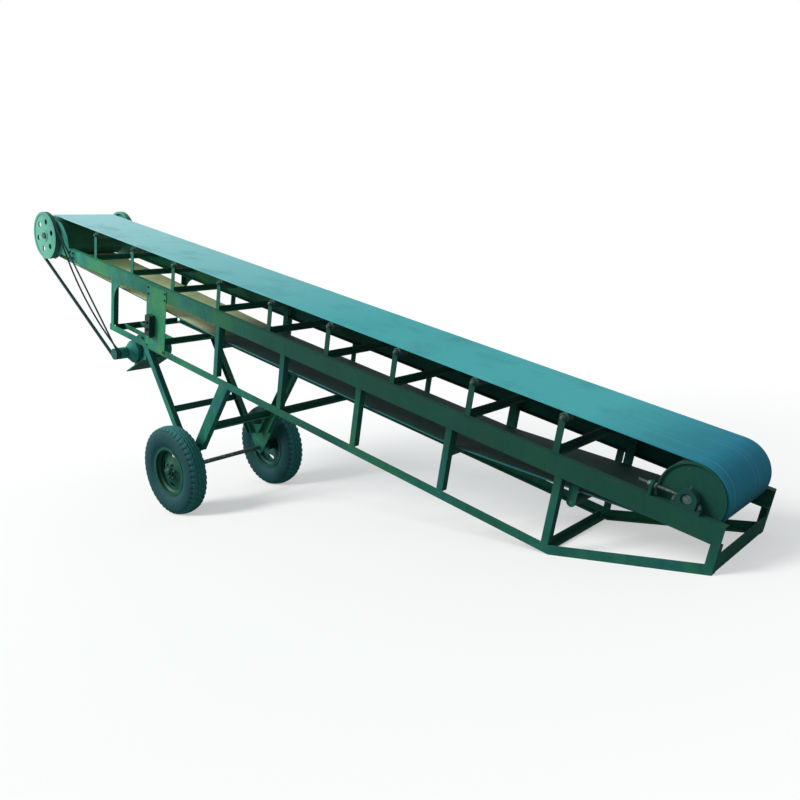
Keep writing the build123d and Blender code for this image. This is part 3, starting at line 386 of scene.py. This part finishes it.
def belt_cover(name, head_colour, middle_colour, tail_colour):
    """Fabric-ply conveyor belt with a calendered rubber cover. It is paler near the head, which is painted
    sheen, and blue at the tail, where it is damp. Its inner side is cream near the head, in patches, and
    nearly black from the legs down. The outer side of the lower strand is near black as painted shade.
    Scuffs run lengthways in bands of a centimetre and less, and a cloth print of 2 mm shows in the light."""
    material, tree = new_material(name)
    where = add(tree, "ShaderNodeTexCoord")
    place = where.outputs["Object"]
    axes = add(tree, "ShaderNodeSeparateXYZ", {0: place})

    # The rubber's colour along the machine, with painted sheen near the head, its stains and its scuffs
    front = add(tree, "ShaderNodeMapRange", {"Value": axes.outputs["X"], "From Min": pale_end,
                                             "From Max": middle_start}).outputs["Result"]
    back = add(tree, "ShaderNodeMapRange", {"Value": axes.outputs["X"], "From Min": blue_start,
                                            "From Max": blue_full}).outputs["Result"]
    colour = add(tree, "ShaderNodeMix", {"Factor": front, "A": linear(head_colour),
                                         "B": linear(middle_colour)}, data_type="RGBA").outputs["Result"]
    colour = add(tree, "ShaderNodeMix", {"Factor": back, "A": colour, "B": linear(tail_colour)},
                 data_type="RGBA").outputs["Result"]
    stain = add(tree, "ShaderNodeTexNoise", {"Vector": place, "Scale": stain_scale, "Detail": 6.0,
                                             "Roughness": 0.65}).outputs["Fac"]
    stained = add(tree, "ShaderNodeMapRange", {"Value": stain, "From Min": 0.5, "From Max": 0.72,
                                               "To Max": 0.35}).outputs["Result"]
    colour = add(tree, "ShaderNodeMix", {"Factor": stained, "A": colour, "B": linear(damp_stain)},
                 data_type="RGBA").outputs["Result"]
    lanes = add(tree, "ShaderNodeMapping", {"Vector": place, "Scale": lane_scale}).outputs["Vector"]
    scuff = add(tree, "ShaderNodeTexNoise", {"Vector": lanes, "Scale": 1.0, "Detail": 3.0}).outputs["Fac"]
    scuffed = add(tree, "ShaderNodeMapRange", {"Value": scuff, "From Min": 0.55, "From Max": 0.75,
                                               "To Max": 0.22}).outputs["Result"]
    colour = add(tree, "ShaderNodeMix", {"Factor": scuffed, "A": colour, "B": linear(scuff_mark)},
                 data_type="RGBA").outputs["Result"]

    # Painted shade: the lower strand, under the upper one, is near black
    height = add(tree, "ShaderNodeVectorMath", {0: place, 1: tuple(square)},
                 operation="DOT_PRODUCT").outputs["Value"]
    low = add(tree, "ShaderNodeMapRange", {"Value": height, "From Min": upper_strand,
                                           "From Max": lower_strand},
              interpolation_type="SMOOTHSTEP").outputs["Result"]
    lower_shade = add(tree, "ShaderNodeMath", {0: low, 1: 0.7}, operation="MULTIPLY").outputs[0]
    colour = add(tree, "ShaderNodeMix", {"Factor": lower_shade, "A": colour, "B": linear(near_black_green)},
                 data_type="RGBA").outputs["Result"]

    # The inner side, which looks down on the upper strand and up on the lower one: cream, then near black
    inner_darkening = add(tree, "ShaderNodeMapRange", {"Value": axes.outputs["X"], "From Min": inner_dark_start,
                                             "From Max": inner_dark_full},
                interpolation_type="SMOOTHSTEP").outputs["Result"]
    second_tone = add(tree, "ShaderNodeMapRange", {"Value": stain, "From Min": 0.4,
                                             "From Max": 0.6}).outputs["Result"]
    ply = add(tree, "ShaderNodeMix", {"Factor": second_tone, "A": linear(inner_cream), "B": linear(inner_cream_patch)},
              data_type="RGBA").outputs["Result"]
    ply = add(tree, "ShaderNodeMix", {"Factor": inner_darkening, "A": ply, "B": linear(near_black_green)},
              data_type="RGBA").outputs["Result"]
    rise = add(tree, "ShaderNodeVectorMath", {0: where.outputs["Normal"], 1: tuple(square)},
               operation="DOT_PRODUCT").outputs["Value"]
    strand = add(tree, "ShaderNodeMapRange", {"Value": low, "To Min": -1.0,
                                              "To Max": 1.0}).outputs["Result"]
    inward = add(tree, "ShaderNodeMath", {0: rise, 1: strand}, operation="MULTIPLY").outputs[0]
    inner = add(tree, "ShaderNodeMapRange", {"Value": inward, "From Min": 0.3,
                                             "From Max": 0.6}).outputs["Result"]
    colour = add(tree, "ShaderNodeMix", {"Factor": inner, "A": colour, "B": ply},
                 data_type="RGBA").outputs["Result"]

    cloth = add(tree, "ShaderNodeTexVoronoi", {"Vector": place, "Scale": cloth_scale}).outputs["Distance"]
    finish(tree, {"Base Color": colour, "Roughness": 0.72, "Specular IOR Level": 0.22}, cloth, 0.0003)
    return material


def moulded(name, coat, light, dust_and_painted_light, roughness, pebble_scale, depth, painted_light_r=None):
    """Moulded rubber or plastic with a pebbled skin, a faint bloom in patches, and dust on what faces up.
    Where a radius round the wheels' axle is given, all that lies beyond it is paler as painted light."""
    material, tree = new_material(name)
    where = add(tree, "ShaderNodeTexCoord")
    place = where.outputs["Object"]
    bloom = add(tree, "ShaderNodeTexNoise", {"Vector": place, "Scale": bloom_scale,
                                             "Detail": 5.0}).outputs["Fac"]
    colour = add(tree, "ShaderNodeMix", {"Factor": bloom, "A": linear(coat), "B": linear(light)},
                 data_type="RGBA").outputs["Result"]
    up = add(tree, "ShaderNodeSeparateXYZ", {0: where.outputs["Normal"]}).outputs["Z"]
    second_tone = add(tree, "ShaderNodeMapRange", {"Value": up, "From Min": 0.5, "From Max": 1.0,
                                             "To Max": 0.35}).outputs["Result"]
    second_tone = add(tree, "ShaderNodeMath", {0: second_tone, 1: bloom}, operation="MULTIPLY").outputs[0]
    # Painted light: beyond the given radius, the tread takes the paler colour
    if painted_light_r is not None:
        spoke = add(tree, "ShaderNodeVectorMath", {0: place, 1: tuple(wheel_axis)},
                    operation="SUBTRACT").outputs[0]
        spoke = add(tree, "ShaderNodeVectorMath", {0: spoke, 1: (1, 0, 1)}, operation="MULTIPLY").outputs[0]
        reach = add(tree, "ShaderNodeVectorMath", {0: spoke}, operation="LENGTH").outputs["Value"]
        tread = add(tree, "ShaderNodeMapRange", {"Value": reach, "From Min": painted_light_r - tread_edge,
                                                 "From Max": painted_light_r, "To Max": 0.75}).outputs["Result"]
        second_tone = add(tree, "ShaderNodeMath", {0: second_tone, 1: tread}, operation="MAXIMUM").outputs[0]
    colour = add(tree, "ShaderNodeMix", {"Factor": second_tone, "A": colour, "B": linear(dust_and_painted_light)},
                 data_type="RGBA").outputs["Result"]
    pebble = add(tree, "ShaderNodeTexNoise", {"Vector": place, "Scale": pebble_scale,
                                              "Detail": 2.0}).outputs["Fac"]
    finish(tree, {"Base Color": colour, "Roughness": roughness, "Specular IOR Level": 0.3}, pebble, depth)
    return material


def bright_steel(name, clean, oxide, roughness):
    """Cold-drawn bar left bare: a grey metal, dulled by dark oxide in flecks of 2 cm and less, with a fine
    grain. Where the oxide lies it hardly shines."""
    material, tree = new_material(name)
    place = add(tree, "ShaderNodeTexCoord").outputs["Object"]
    fleck = add(tree, "ShaderNodeTexNoise", {"Vector": place, "Scale": fleck_scale,
                                             "Detail": 6.0}).outputs["Fac"]
    rust = add(tree, "ShaderNodeMapRange", {"Value": fleck, "From Min": 0.3,
                                            "From Max": 0.62}).outputs["Result"]
    colour = add(tree, "ShaderNodeMix", {"Factor": rust, "A": linear(clean), "B": linear(oxide)},
                 data_type="RGBA").outputs["Result"]
    metal = add(tree, "ShaderNodeMapRange", {"Value": rust, "To Min": 0.9, "To Max": 0.1}).outputs["Result"]
    rough = add(tree, "ShaderNodeMapRange", {"Value": rust, "To Min": roughness,
                                             "To Max": 0.75}).outputs["Result"]
    grain = add(tree, "ShaderNodeTexNoise", {"Vector": place, "Scale": grain_scale,
                                             "Detail": 1.0}).outputs["Fac"]
    finish(tree, {"Base Color": colour, "Metallic": metal, "Roughness": rough}, grain, 0.0002)
    return material


finishes = {
    # Frame, drums and head discs: brushed green enamel, satin and worn
    "green_paint": enamel("green_enamel", "#1E8570", "#43A58C", "#0A3D31", "#6E4A36", 0.45),
    # Pressed wheel discs: the same enamel, darker as painted shade inside the wheels, and not paler at the
    # head
    "rim_paint": enamel("rim_enamel", "#0F5242", "#186A58", "#062E24", "#4A3A30", 0.5, tail_shade=0.0,
                        head_light=0.0, tinted=0.2),
    # Switch plate: a sheet painted over in a yellower green
    "plate_paint": enamel("switch_plate_enamel", "#2A8A64", "#56A054", "#1C6248", "#6E4A36", 0.45,
                          tail_shade=0.3),
    # Motor and its fan grille: a smoother blue-green enamel, made paler as painted light against the shadow
    # it lies in, and with less painted shade than the frame's
    "motor_paint": enamel("motor_enamel", "#34AAA0", "#48BEB0", "#145850", "#5A4A40", 0.4, shade=0.5,
                          tail_shade=0.0, head_light=0.0, tinted=0.2),
    # Bearings and motor pulley: sand castings under a dull coat of paint
    "bearing_iron": enamel("painted_casting", "#1E6458", "#2E7D6C", "#0B3A34", "#4A4A44", 0.6),
    # Axle, shafts, rollers, screws and nuts: cold-drawn bar, half dulled by oxide
    "steel": bright_steel("drawn_bar", "#6E7E7B", "#27473F", 0.4),
    # Conveyor belt: a rubber cover over cotton ply, with painted sheen near the head and painted shade on
    # the lower strand
    "belt_rubber": belt_cover("belt_cover", "#AEE4E8", "#48AEB2", "#0A7690"),
    # V-belts: moulded rubber with a matt skin of 1 mm grain
    "drive_rubber": moulded("drive_belt_rubber", "#0F3A37", "#17504B", "#3C6A66", 0.6, 900.0, 0.0002),
    # Switch box, buttons and valves: moulded phenolic resin, a dull dark shell
    "box_plastic": moulded("switch_box_plastic", "#0E2E28", "#153C35", "#2F5A50", 0.45, 600.0, 0.0002),
    # Tyres: moulded rubber with a 2 mm grain, dust on what faces up, and painted light on the tread
    "tyre_rubber": moulded("tyre_rubber", "#083A3C", "#0E4C50", "#2A7674", 0.72, 500.0, 0.0003, shoulder_r),
}
for row in frame["record"]["subparts"]:
    mesh = nodes[row["node"]].data
    mesh.materials.clear()
    mesh.materials.append(finishes[row["material_slot"]])


# Pieces: every one is a computed mesh in the frame's own place

def grid(rows, columns, wrap_rows=False):
    """Quads between the points of a grid that are counted row by row. Each row closes on itself, and where
    the rows wrap the last one meets the first."""
    r, c = np.meshgrid(np.arange(rows if wrap_rows else rows - 1), np.arange(columns), indexing="ij")
    r, c = r.ravel(), c.ravel()
    r2, c2 = (r + 1) % rows, (c + 1) % columns
    return np.column_stack([r * columns + c, r * columns + c2, r2 * columns + c2, r2 * columns + c])


def piece(name, points, faces, body, slot, sharp_deg=35, replaced=()):
    """Makes a mesh piece, gives it its slot's finish and fastens it to its body."""
    mesh = bpy.data.meshes.new(name)
    mesh.from_pydata(np.asarray(points).tolist(), [], [list(map(int, face)) for face in faces])
    mesh.polygons.foreach_set("use_smooth", [True] * len(mesh.polygons))
    mesh.set_sharp_from_angle(angle=radians(sharp_deg))
    made = bpy.data.objects.new(name, mesh)
    bpy.context.scene.collection.objects.link(made)
    mesh.materials.append(finishes[slot])
    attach(made, body)
    if replaced:
        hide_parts(*replaced)


def joined(parts):
    """Several pieces of geometry as one set of points and faces."""
    points, faces, start = [], [], 0
    for part_points, part_faces in parts:
        points.append(part_points)
        faces += [[start + int(i) for i in face] for face in part_faces]
        start += len(part_points)
    return np.vstack(points), faces


def turn_to(out):
    """Three directions as rows: two sideways ones and the way out. The first is level, unless the way out
    is nearly upright."""
    out = np.asarray(out, float) / np.linalg.norm(out)
    lean = (1.0, 0.0, 0.0) if abs(out[2]) > 0.95 else (0.0, 0.0, 1.0)
    side = np.cross(lean, out)
    side /= np.linalg.norm(side)
    return np.array([side, np.cross(out, side), out])


ring_points = 12


def stack(rings):
    """A closed stack of rings, each given as its height and the radii of its corners: sides from ring to
    ring, and both ends closed."""
    count = len(rings[0][1])
    angle = np.arange(count) * 2 * pi / count
    points = np.vstack([np.column_stack([radii * np.cos(angle), radii * np.sin(angle),
                                         np.full(count, height)]) for height, radii in rings])
    faces = grid(len(rings), count).tolist()
    last = (len(rings) - 1) * count
    return points, faces + [list(range(count))[::-1], list(range(last, last + count))]


def round_ring(height, radius, count=ring_points):
    """A round ring of a stack."""
    return height, np.full(count, radius)


def hex_ring(height, flats):
    """A six-sided ring of a stack, with a point at each corner and at each side's middle."""
    return height, np.where(np.arange(ring_points) % 2, flats / 2, flats / 2 / cos(pi / 6))


def turned(profile, count=ring_points):
    """A closed round shape from its profile, given as rows of height and radius."""
    return stack([round_ring(height, radius, count) for height, radius in profile])


washer_sunk = 0.0005
screw_sunk = 0.0004


def bolt(flats, stud=0.0):
    """A hexagon head or nut on a washer, its top edge taken off, with a stud's end through it where one is
    given. Its sizes are shares of the width across its flats."""
    washer_r, washer_top = 0.68 * flats, 0.12 * flats
    head_top, crown_r = 0.62 * flats, 0.44 * flats
    crown_top = head_top + 0.08 * flats
    rings = [round_ring(-washer_sunk, washer_r), round_ring(washer_top, washer_r),
             hex_ring(washer_top, flats), hex_ring(head_top, flats), round_ring(crown_top, crown_r)]
    if stud:
        stud_r, tip_r, tip_tall = 0.3 * flats, 0.22 * flats, 0.06 * flats
        stud_top = head_top + stud
        rings += [round_ring(crown_top, stud_r), round_ring(stud_top, stud_r),
                  round_ring(stud_top + tip_tall, tip_r)]
    return stack(rings)


def screw_head(radius):
    """A low round screw head."""
    return turned([(-screw_sunk, radius), (0.25 * radius, radius), (0.5 * radius, 0.8 * radius),
                   (0.62 * radius, 0.4 * radius)])


def placed(shape, places):
    """Copies of one shape, each set at a place and turned so that its height runs the way out."""
    points, faces = shape
    return joined([(points @ turn_to(out) + np.asarray(place), faces) for place, out in places])


# Tyres: ribbed tread with a notched shoulder

def arc(start, middle, end, count):
    """Points along the circle through three points, its ends included."""
    (ax, ay), (bx, by), (cx, cy) = start, middle, end
    a2, b2, c2 = ax ** 2 + ay ** 2, bx ** 2 + by ** 2, cx ** 2 + cy ** 2
    d = 2 * (ax * (by - cy) + bx * (cy - ay) + cx * (ay - by))
    ux = (a2 * (by - cy) + b2 * (cy - ay) + c2 * (ay - by)) / d
    uy = (a2 * (cx - bx) + b2 * (ax - cx) + c2 * (bx - ax)) / d
    first, mid, last = (np.arctan2(y - uy, x - ux) for x, y in (start, middle, end))
    mid = first + (mid - first + pi) % (2 * pi) - pi
    last = mid + (last - mid + pi) % (2 * pi) - pi
    angle = np.linspace(first, last, count)
    radius = np.hypot(ax - ux, ay - uy)
    return np.column_stack([ux + radius * np.cos(angle), uy + radius * np.sin(angle)])


def smooth_step(value):
    """Nought below 0, one above 1, and a smooth rise between them."""
    value = np.clip(value, 0, 1)
    return value * value * (3 - 2 * value)


# The section, as in the part's source
bead_half = 0.065
bead_r = 0.225
seat_r = 0.2033
tyre_half = 0.09
shoulder_half = 0.066

# The pattern. Widths across the tread are shares of its half width, lengths round it are shares of a
# pitch, and the rest is in metres. A bank is how far a groove, a notch or a ring takes to reach its depth.
tread_margin = 0.001
sidewall_points = 22
crown_points = 63
tread_pitches = 46
steps_a_pitch = 10
groove_depth = 0.009
groove_lines = ((-0.45, 1), (0.0, -1), (0.45, 1))
groove_swing = 0.07
groove_half = 0.085
groove_bank = 0.045
notch_depth = 0.006
notch_start = 0.7
notch_bank = 0.06
notch_drop = 0.03
notch_foot_bank = 0.008
notch_half = 0.24
notch_side_bank = 0.08
sidewall_rings = (0.246, 0.342)
ring_depth = 0.0016
ring_half = 0.0035
ring_bank = 0.002


def tyre(side):
    """One tyre as a profile turned round its axle. The profile is a bead seat, two arched sidewalls and an
    arched crown. Each point is pulled in along the profile's normal and never pushed out, so the tyre stays
    within the plain one: by up to 9 mm along three zigzag grooves 11 mm wide round the crown, by up to 6 mm
    in a notch at every pitch of both shoulders, and by 1.6 mm along two rings on each sidewall."""
    widest_r = (bead_r + shoulder_r) / 2
    left = arc((-bead_half, bead_r), (-tyre_half, widest_r), (-shoulder_half, shoulder_r), sidewall_points)
    crown = arc((-shoulder_half, shoulder_r), (0, wheel_r), (shoulder_half, shoulder_r), crown_points)
    right = left[::-1] * (-1, 1)
    seat = np.array([(bead_half, seat_r), (bead_half / 3, seat_r), (-bead_half / 3, seat_r),
                     (-bead_half, seat_r)])
    outline = np.vstack([left, crown[1:], right[1:], seat])
    ahead, behind = np.roll(outline, -1, axis=0), np.roll(outline, 1, axis=0)
    normal = np.column_stack([-(ahead - behind)[:, 1], (ahead - behind)[:, 0]])
    normal /= np.linalg.norm(normal, axis=1)[:, None]
    steps = tread_pitches * steps_a_pitch
    turn = np.arange(steps) / steps_a_pitch
    zigzag = np.abs(turn % 1 - 0.5) * 4 - 1
    u = outline[:, 0][:, None] / shoulder_half
    height = outline[:, 1][:, None]
    on_tread = height > shoulder_r - tread_margin
    depth = np.zeros((len(outline), steps))
    for line, phase in groove_lines:
        away = np.abs(u - line - groove_swing * phase * zigzag[None, :])
        depth = np.maximum(depth, groove_depth * smooth_step((groove_half - away) / groove_bank) * on_tread)
    outer = smooth_step((np.abs(u) - notch_start) / notch_bank)
    down = smooth_step((height - shoulder_r + notch_drop) / notch_foot_bank)
    notch = smooth_step((notch_half - np.abs((turn + 0.25) % 1 - 0.5)) / notch_side_bank)
    depth = np.maximum(depth, notch_depth * (outer * down) * notch[None, :])
    for ring in sidewall_rings:
        depth = np.maximum(depth, ring_depth * smooth_step((ring_half - np.abs(height - ring)) / ring_bank))
    radial = height - normal[:, 1][:, None] * depth
    axial = outline[:, 0][:, None] - normal[:, 0][:, None] * depth
    angle = turn * 2 * pi / tread_pitches
    centre = wheel_axis + (0, side * wheel_plane, 0)
    points = np.stack([centre[0] + radial * np.cos(angle), centre[1] + axial,
                       centre[2] + radial * np.sin(angle)], axis=-1).reshape(-1, 3)
    return points, grid(len(outline), steps, wrap_rows=True)


for side, word in sides:
    piece("ribbed_tyre_" + word, *tyre(side), "wheel_" + word, "tyre_rubber", 50, ("tyre_" + word,))


# Wheel nuts on the disc, and a valve stem beside it

wheel_nut_count = 6
wheel_nut_circle_r = 0.066
wheel_nut_flats = 0.019
wheel_stud = 0.006
disc_face = 0.046
valve_circle_r = 0.178
valve_angle = 1.1
valve_root = 0.012
valve = turned([(0, 0.006), (0.012, 0.006), (0.014, 0.004), (0.034, 0.004), (0.035, 0.0055),
                (0.045, 0.0055), (0.046, 0.004)])


def on_wheel(side, radius, angle, out):
    """A place on a wheel: a radius and an angle round the axle, and a distance out of the tyre's middle
    plane."""
    return wheel_axis + (radius * cos(angle), side * (wheel_plane + out), radius * sin(angle))


for side, word in sides:
    out = (0, side, 0)
    spots = [(on_wheel(side, wheel_nut_circle_r, angle, disc_face), out)
             for angle in np.arange(wheel_nut_count) * 2 * pi / wheel_nut_count]
    piece("wheel_nuts_" + word, *placed(bolt(wheel_nut_flats, wheel_stud), spots), "wheel_" + word, "steel")
    stem = [(on_wheel(side, valve_circle_r, valve_angle, valve_root), out)]
    piece("valve_" + word, *placed(valve, stem), "wheel_" + word, "box_plastic")


# Take-up screws: rolled threads and chamfered nuts

tail_ring_r = 0.056
fit_gap = 0.0003
screw_length = 0.230
screw_r = 0.01
takeup_reach = 0.21
lug_thick = 0.016
nut_flats = 0.032
nut_tall = 0.018
nut_chamfer = 0.002
nut_face_r = 0.46 * nut_flats
thread_pitch = 0.0036
thread_depth = 0.0013
end_depth = 0.0016
thread_points = 16
rows_a_pitch = 6
screw_end = drum_centres - tail_ring_r - fit_gap
screw_start = screw_end - screw_length
lug_at = drum_centres - takeup_reach
nut_rows = (lug_at - nut_tall, lug_at + lug_thick)


def thread(y):
    """A screw as a grid round its axis: the radius falls by 1.3 mm once a pitch, and the low line climbs
    one pitch a turn."""
    count = int((screw_end - screw_start) / thread_pitch * rows_a_pitch)
    s = np.linspace(screw_start, screw_end, count)
    angle = np.arange(thread_points) * 2 * pi / thread_points
    wave = 0.5 - 0.5 * np.cos(2 * pi * s[:, None] / thread_pitch - angle[None, :])
    radius = screw_r - thread_depth * wave
    radius[0] = radius[-1] = screw_r - end_depth
    centre = head + s[:, None] * along + (tail_n * square + y * across)
    points = (centre[:, None, :] + (radius * np.cos(angle))[..., None] * across
              + (radius * np.sin(angle))[..., None] * square).reshape(-1, 3)
    faces = grid(count, thread_points)[:, ::-1].tolist()
    last = (count - 1) * thread_points
    return points, faces + [list(range(thread_points)), list(range(last, last + thread_points))[::-1]]


nut = stack([round_ring(0, nut_face_r), hex_ring(nut_chamfer, nut_flats),
             hex_ring(nut_tall - nut_chamfer, nut_flats), round_ring(nut_tall, nut_face_r)])
parts = [thread(y) for y in (-takeup_y, takeup_y)]
parts.append(placed(nut, [(at(s, tail_n, y), along) for y in (-takeup_y, takeup_y) for s in nut_rows]))
piece("threaded_takeups", *joined(parts), "frame", "steel", 40, ("takeup_screws",))


# Bolts and nuts, grouped by what they hold

outward = {-1: (0, -1, 0), 1: (0, 1, 0)}
tail_boss_top = stringer_top + 0.03
tail_bolt_out = 0.068
head_plate_y = 0.394
head_bolt_out = 0.048
lap_columns, lap_rows = (0.435, 0.5), (-0.08, -0.13)
switch_plate_y = -0.405
switch_columns, switch_rows = (1.892, 2.158), (-0.09, -0.15, -0.635)
hub_plate_y = 0.41
hub_bolt_heights = {front_leg_at: (0.58, 0.62), rear_leg_at: (0.575, 0.615)}
motor_foot_top = -0.113
motor_bolt_out = 0.078
motor_bolt_ys = (-0.1955, 0.0155)
motor_up = by_motor(0, 1) - by_motor(0, 0)


def leg_place(s_top, height, y):
    """The place at a height on a leg's middle line, which runs from the chord's underside to the axle."""
    top = at(s_top, chord_bottom)
    share = (height - top[2]) / (wheel_axis[2] - top[2])
    return top[0] + (wheel_axis[0] - top[0]) * share, y, height


tail_bolts = [(at(drum_centres + ds, tail_boss_top, side * takeup_y), square)
              for side in outward for ds in (-tail_bolt_out, tail_bolt_out)]
head_bolts = [(at(ds, dn, side * head_plate_y), outward[side]) for side in outward
              for ds in (-head_bolt_out, head_bolt_out) for dn in (-head_bolt_out, head_bolt_out)]
lap_bolts = [(at(s, n, side * half_frame), outward[side])
             for side in outward for s in lap_columns for n in lap_rows]
idler_nuts = [(at(s, roller_n, side * idler_shaft_y), outward[side])
              for side in outward for s in idler_rows]
switch_bolts = [(at(s, n, switch_plate_y), outward[-1]) for s in switch_columns for n in switch_rows]
hub_bolts = [(leg_place(s_top, height, side * hub_plate_y), outward[side]) for side in outward
             for s_top, heights in hub_bolt_heights.items() for height in heights]
motor_bolts = [(by_motor(u, motor_foot_top, y), motor_up)
               for u in (-motor_bolt_out, motor_bolt_out) for y in motor_bolt_ys]

# Each row is a piece's name, its width across flats, its stud's end, its places and its finish
for name, flats, stud, places, slot in (
    ("tail_bearing_bolts", 0.024, 0.008, tail_bolts, "steel"),
    ("head_plate_bolts", 0.0085, 0.0, head_bolts, "steel"),
    ("stringer_lap_bolts", 0.019, 0.0, lap_bolts, "green_paint"),
    ("idler_shaft_nuts", 0.024, 0.005, idler_nuts, "steel"),
    ("switch_plate_bolts", 0.017, 0.0, switch_bolts, "green_paint"),
    ("hub_plate_bolts", 0.021, 0.0, hub_bolts, "green_paint"),
    ("motor_foot_bolts", 0.019, 0.006, motor_bolts, "steel"),
):
    piece(name, *placed(bolt(flats, stud), places), "frame", slot)


# Screws of the two lids, the switch's buttons, and grease nipples on the four bearings

terminal_lid_top = 0.16
terminal_lid_y = -0.09
terminal_screw_r = 0.005
terminal_us, terminal_ys = (-0.045, 0.045), (-0.042, 0.042)
terminal_screws = [(by_motor(u, terminal_lid_top, terminal_lid_y + y), motor_up)
                   for u in terminal_us for y in terminal_ys]
piece("terminal_box_screws", *placed(screw_head(terminal_screw_r), terminal_screws), "frame", "steel")

box_s, box_n, lid_y = 1.974, -0.426, -0.461
lid_screw_r = 0.0045
lid_columns, lid_rows = (-0.03, 0.03), (-0.084, 0.084)
lid_screws = [(at(box_s + ds, box_n + dn, lid_y), outward[-1]) for ds in lid_columns for dn in lid_rows]
piece("switch_lid_screws", *placed(screw_head(lid_screw_r), lid_screws), "frame", "steel")

# A button stands in a low collar, and its top is slightly domed
button_rows = (-0.032, 0.032)
button = turned([(-screw_sunk, 0.019), (0.004, 0.019), (0.005, 0.017), (0.005, 0.0135), (0.012, 0.0135),
                 (0.014, 0.0115), (0.0145, 0.006)], 24)
button_places = [(at(box_s, box_n + dn, lid_y), outward[-1]) for dn in button_rows]
piece("switch_buttons", *placed(button, button_places), "frame", "box_plastic")

tail_ring_top = tail_n + 0.0555
head_boss_top = 0.0515
head_boss_y = 0.359
nipple = turned([(-0.001, 0.006), (0.005, 0.006), (0.006, 0.0035), (0.011, 0.0032), (0.013, 0.0042),
                 (0.016, 0.0025)], 6)
nipples = [(at(drum_centres, tail_ring_top, side * takeup_y), square) for side in outward]
nipples += [(at(0, head_boss_top, side * head_boss_y), square) for side in outward]
piece("grease_nipples", *placed(nipple, nipples), "frame", "steel")


# Fan grille: rings and spokes over the cowl's end

grille_y = 0.1405
hoop_radii = (0.022, 0.034, 0.046, 0.058, 0.07)
hoop_wire_r = 0.0016
spoke_count = 8
spoke_start, spoke_end = 0.02, 0.074
spoke_r = 0.0014


def hoop(radius):
    """A thin ring round the motor's axis: a circle of wire swept round a larger circle."""
    around, section = 40, 6
    big = np.arange(around) * 2 * pi / around
    small = np.arange(section) * 2 * pi / section
    reach = radius + hoop_wire_r * np.cos(small)[None, :]
    points = np.stack([motor_axis[0] + reach * np.cos(big)[:, None],
                       grille_y + hoop_wire_r * np.sin(small)[None, :] + 0 * big[:, None],
                       motor_axis[2] + reach * np.sin(big)[:, None]], axis=-1).reshape(-1, 3)
    return points, grid(around, section, wrap_rows=True).tolist()


def spoke(angle):
    """A straight round rod of the grille, from its middle outwards."""
    start, end = (motor_axis + (reach * cos(angle), grille_y, reach * sin(angle))
                  for reach in (spoke_start, spoke_end))
    length = np.linalg.norm(end - start)
    return placed(turned([(0, spoke_r), (length, spoke_r)], 6), [(start, end - start)])


grille = [hoop(radius) for radius in hoop_radii]
grille += [spoke(angle) for angle in np.arange(spoke_count) * 2 * pi / spoke_count]
piece("fan_grille", *joined(grille), "frame", "motor_paint")


# Weld beads: a rippled half-buried bead along each seam

bead_size = 0.0034
bead_points = 6
ripple_pitch = 0.007
ripple_share = 0.16
rows_a_ripple = 4
bead_inset = 0.002
chord_margin = 0.0005
post_gap = 0.06
idler_bead_half = 0.021
leg_bead_halves = {front_leg_at: 0.03, rear_leg_at: 0.052}


def bead(s0, s1, n, y):
    """A bead along the incline from s0 to s1. Its round section swells and shrinks by a sixth with every
    ripple of 7 mm, and its ends are half as thick."""
    start, end = at(s0, n, y), at(s1, n, y)
    length = np.linalg.norm(end - start)
    count = max(int(length / ripple_pitch * rows_a_ripple), 6)
    t = np.linspace(0, length, count)
    radius = bead_size * (1 - ripple_share + ripple_share * np.abs(np.sin(pi * t / ripple_pitch)))
    radius[0] = radius[-1] = bead_size * 0.5
    side, up, out = turn_to(end - start)
    angle = np.arange(bead_points) * 2 * pi / bead_points
    ring = np.cos(angle)[:, None] * side + np.sin(angle)[:, None] * up
    points = (start + t[:, None, None] * out + radius[:, None, None] * ring[None]).reshape(-1, 3)
    last = (count - 1) * bead_points
    return points, grid(count, bead_points).tolist() + [list(range(bead_points))[::-1],
                                                        list(range(last, last + bead_points))]


# The posts' feet are found on the chord's top: points closer than post_gap belong to one post
beads = []
for side, word in sides:
    spots = np.array([v.co[:] for v in nodes["truss_posts_" + word].data.vertices]) - head
    feet = np.unique(np.round((spots @ along)[np.abs(spots @ square - chord_top) < chord_margin], 3))
    for post in np.split(feet, np.where(np.diff(feet) > post_gap)[0] + 1):
        for n in (chord_top, stringer_bottom):
            beads.append(bead(post.min() + bead_inset, post.max() - bead_inset, n, side * half_frame))
for side in outward:
    for s in idler_rows:
        beads.append(bead(s - idler_bead_half, s + idler_bead_half, stringer_top, side * idler_shaft_y))
    for s, half in leg_bead_halves.items():
        beads.append(bead(s - half, s + half, chord_bottom, side * half_frame))
piece("weld_beads", *joined(beads), "frame", "green_paint", 60)
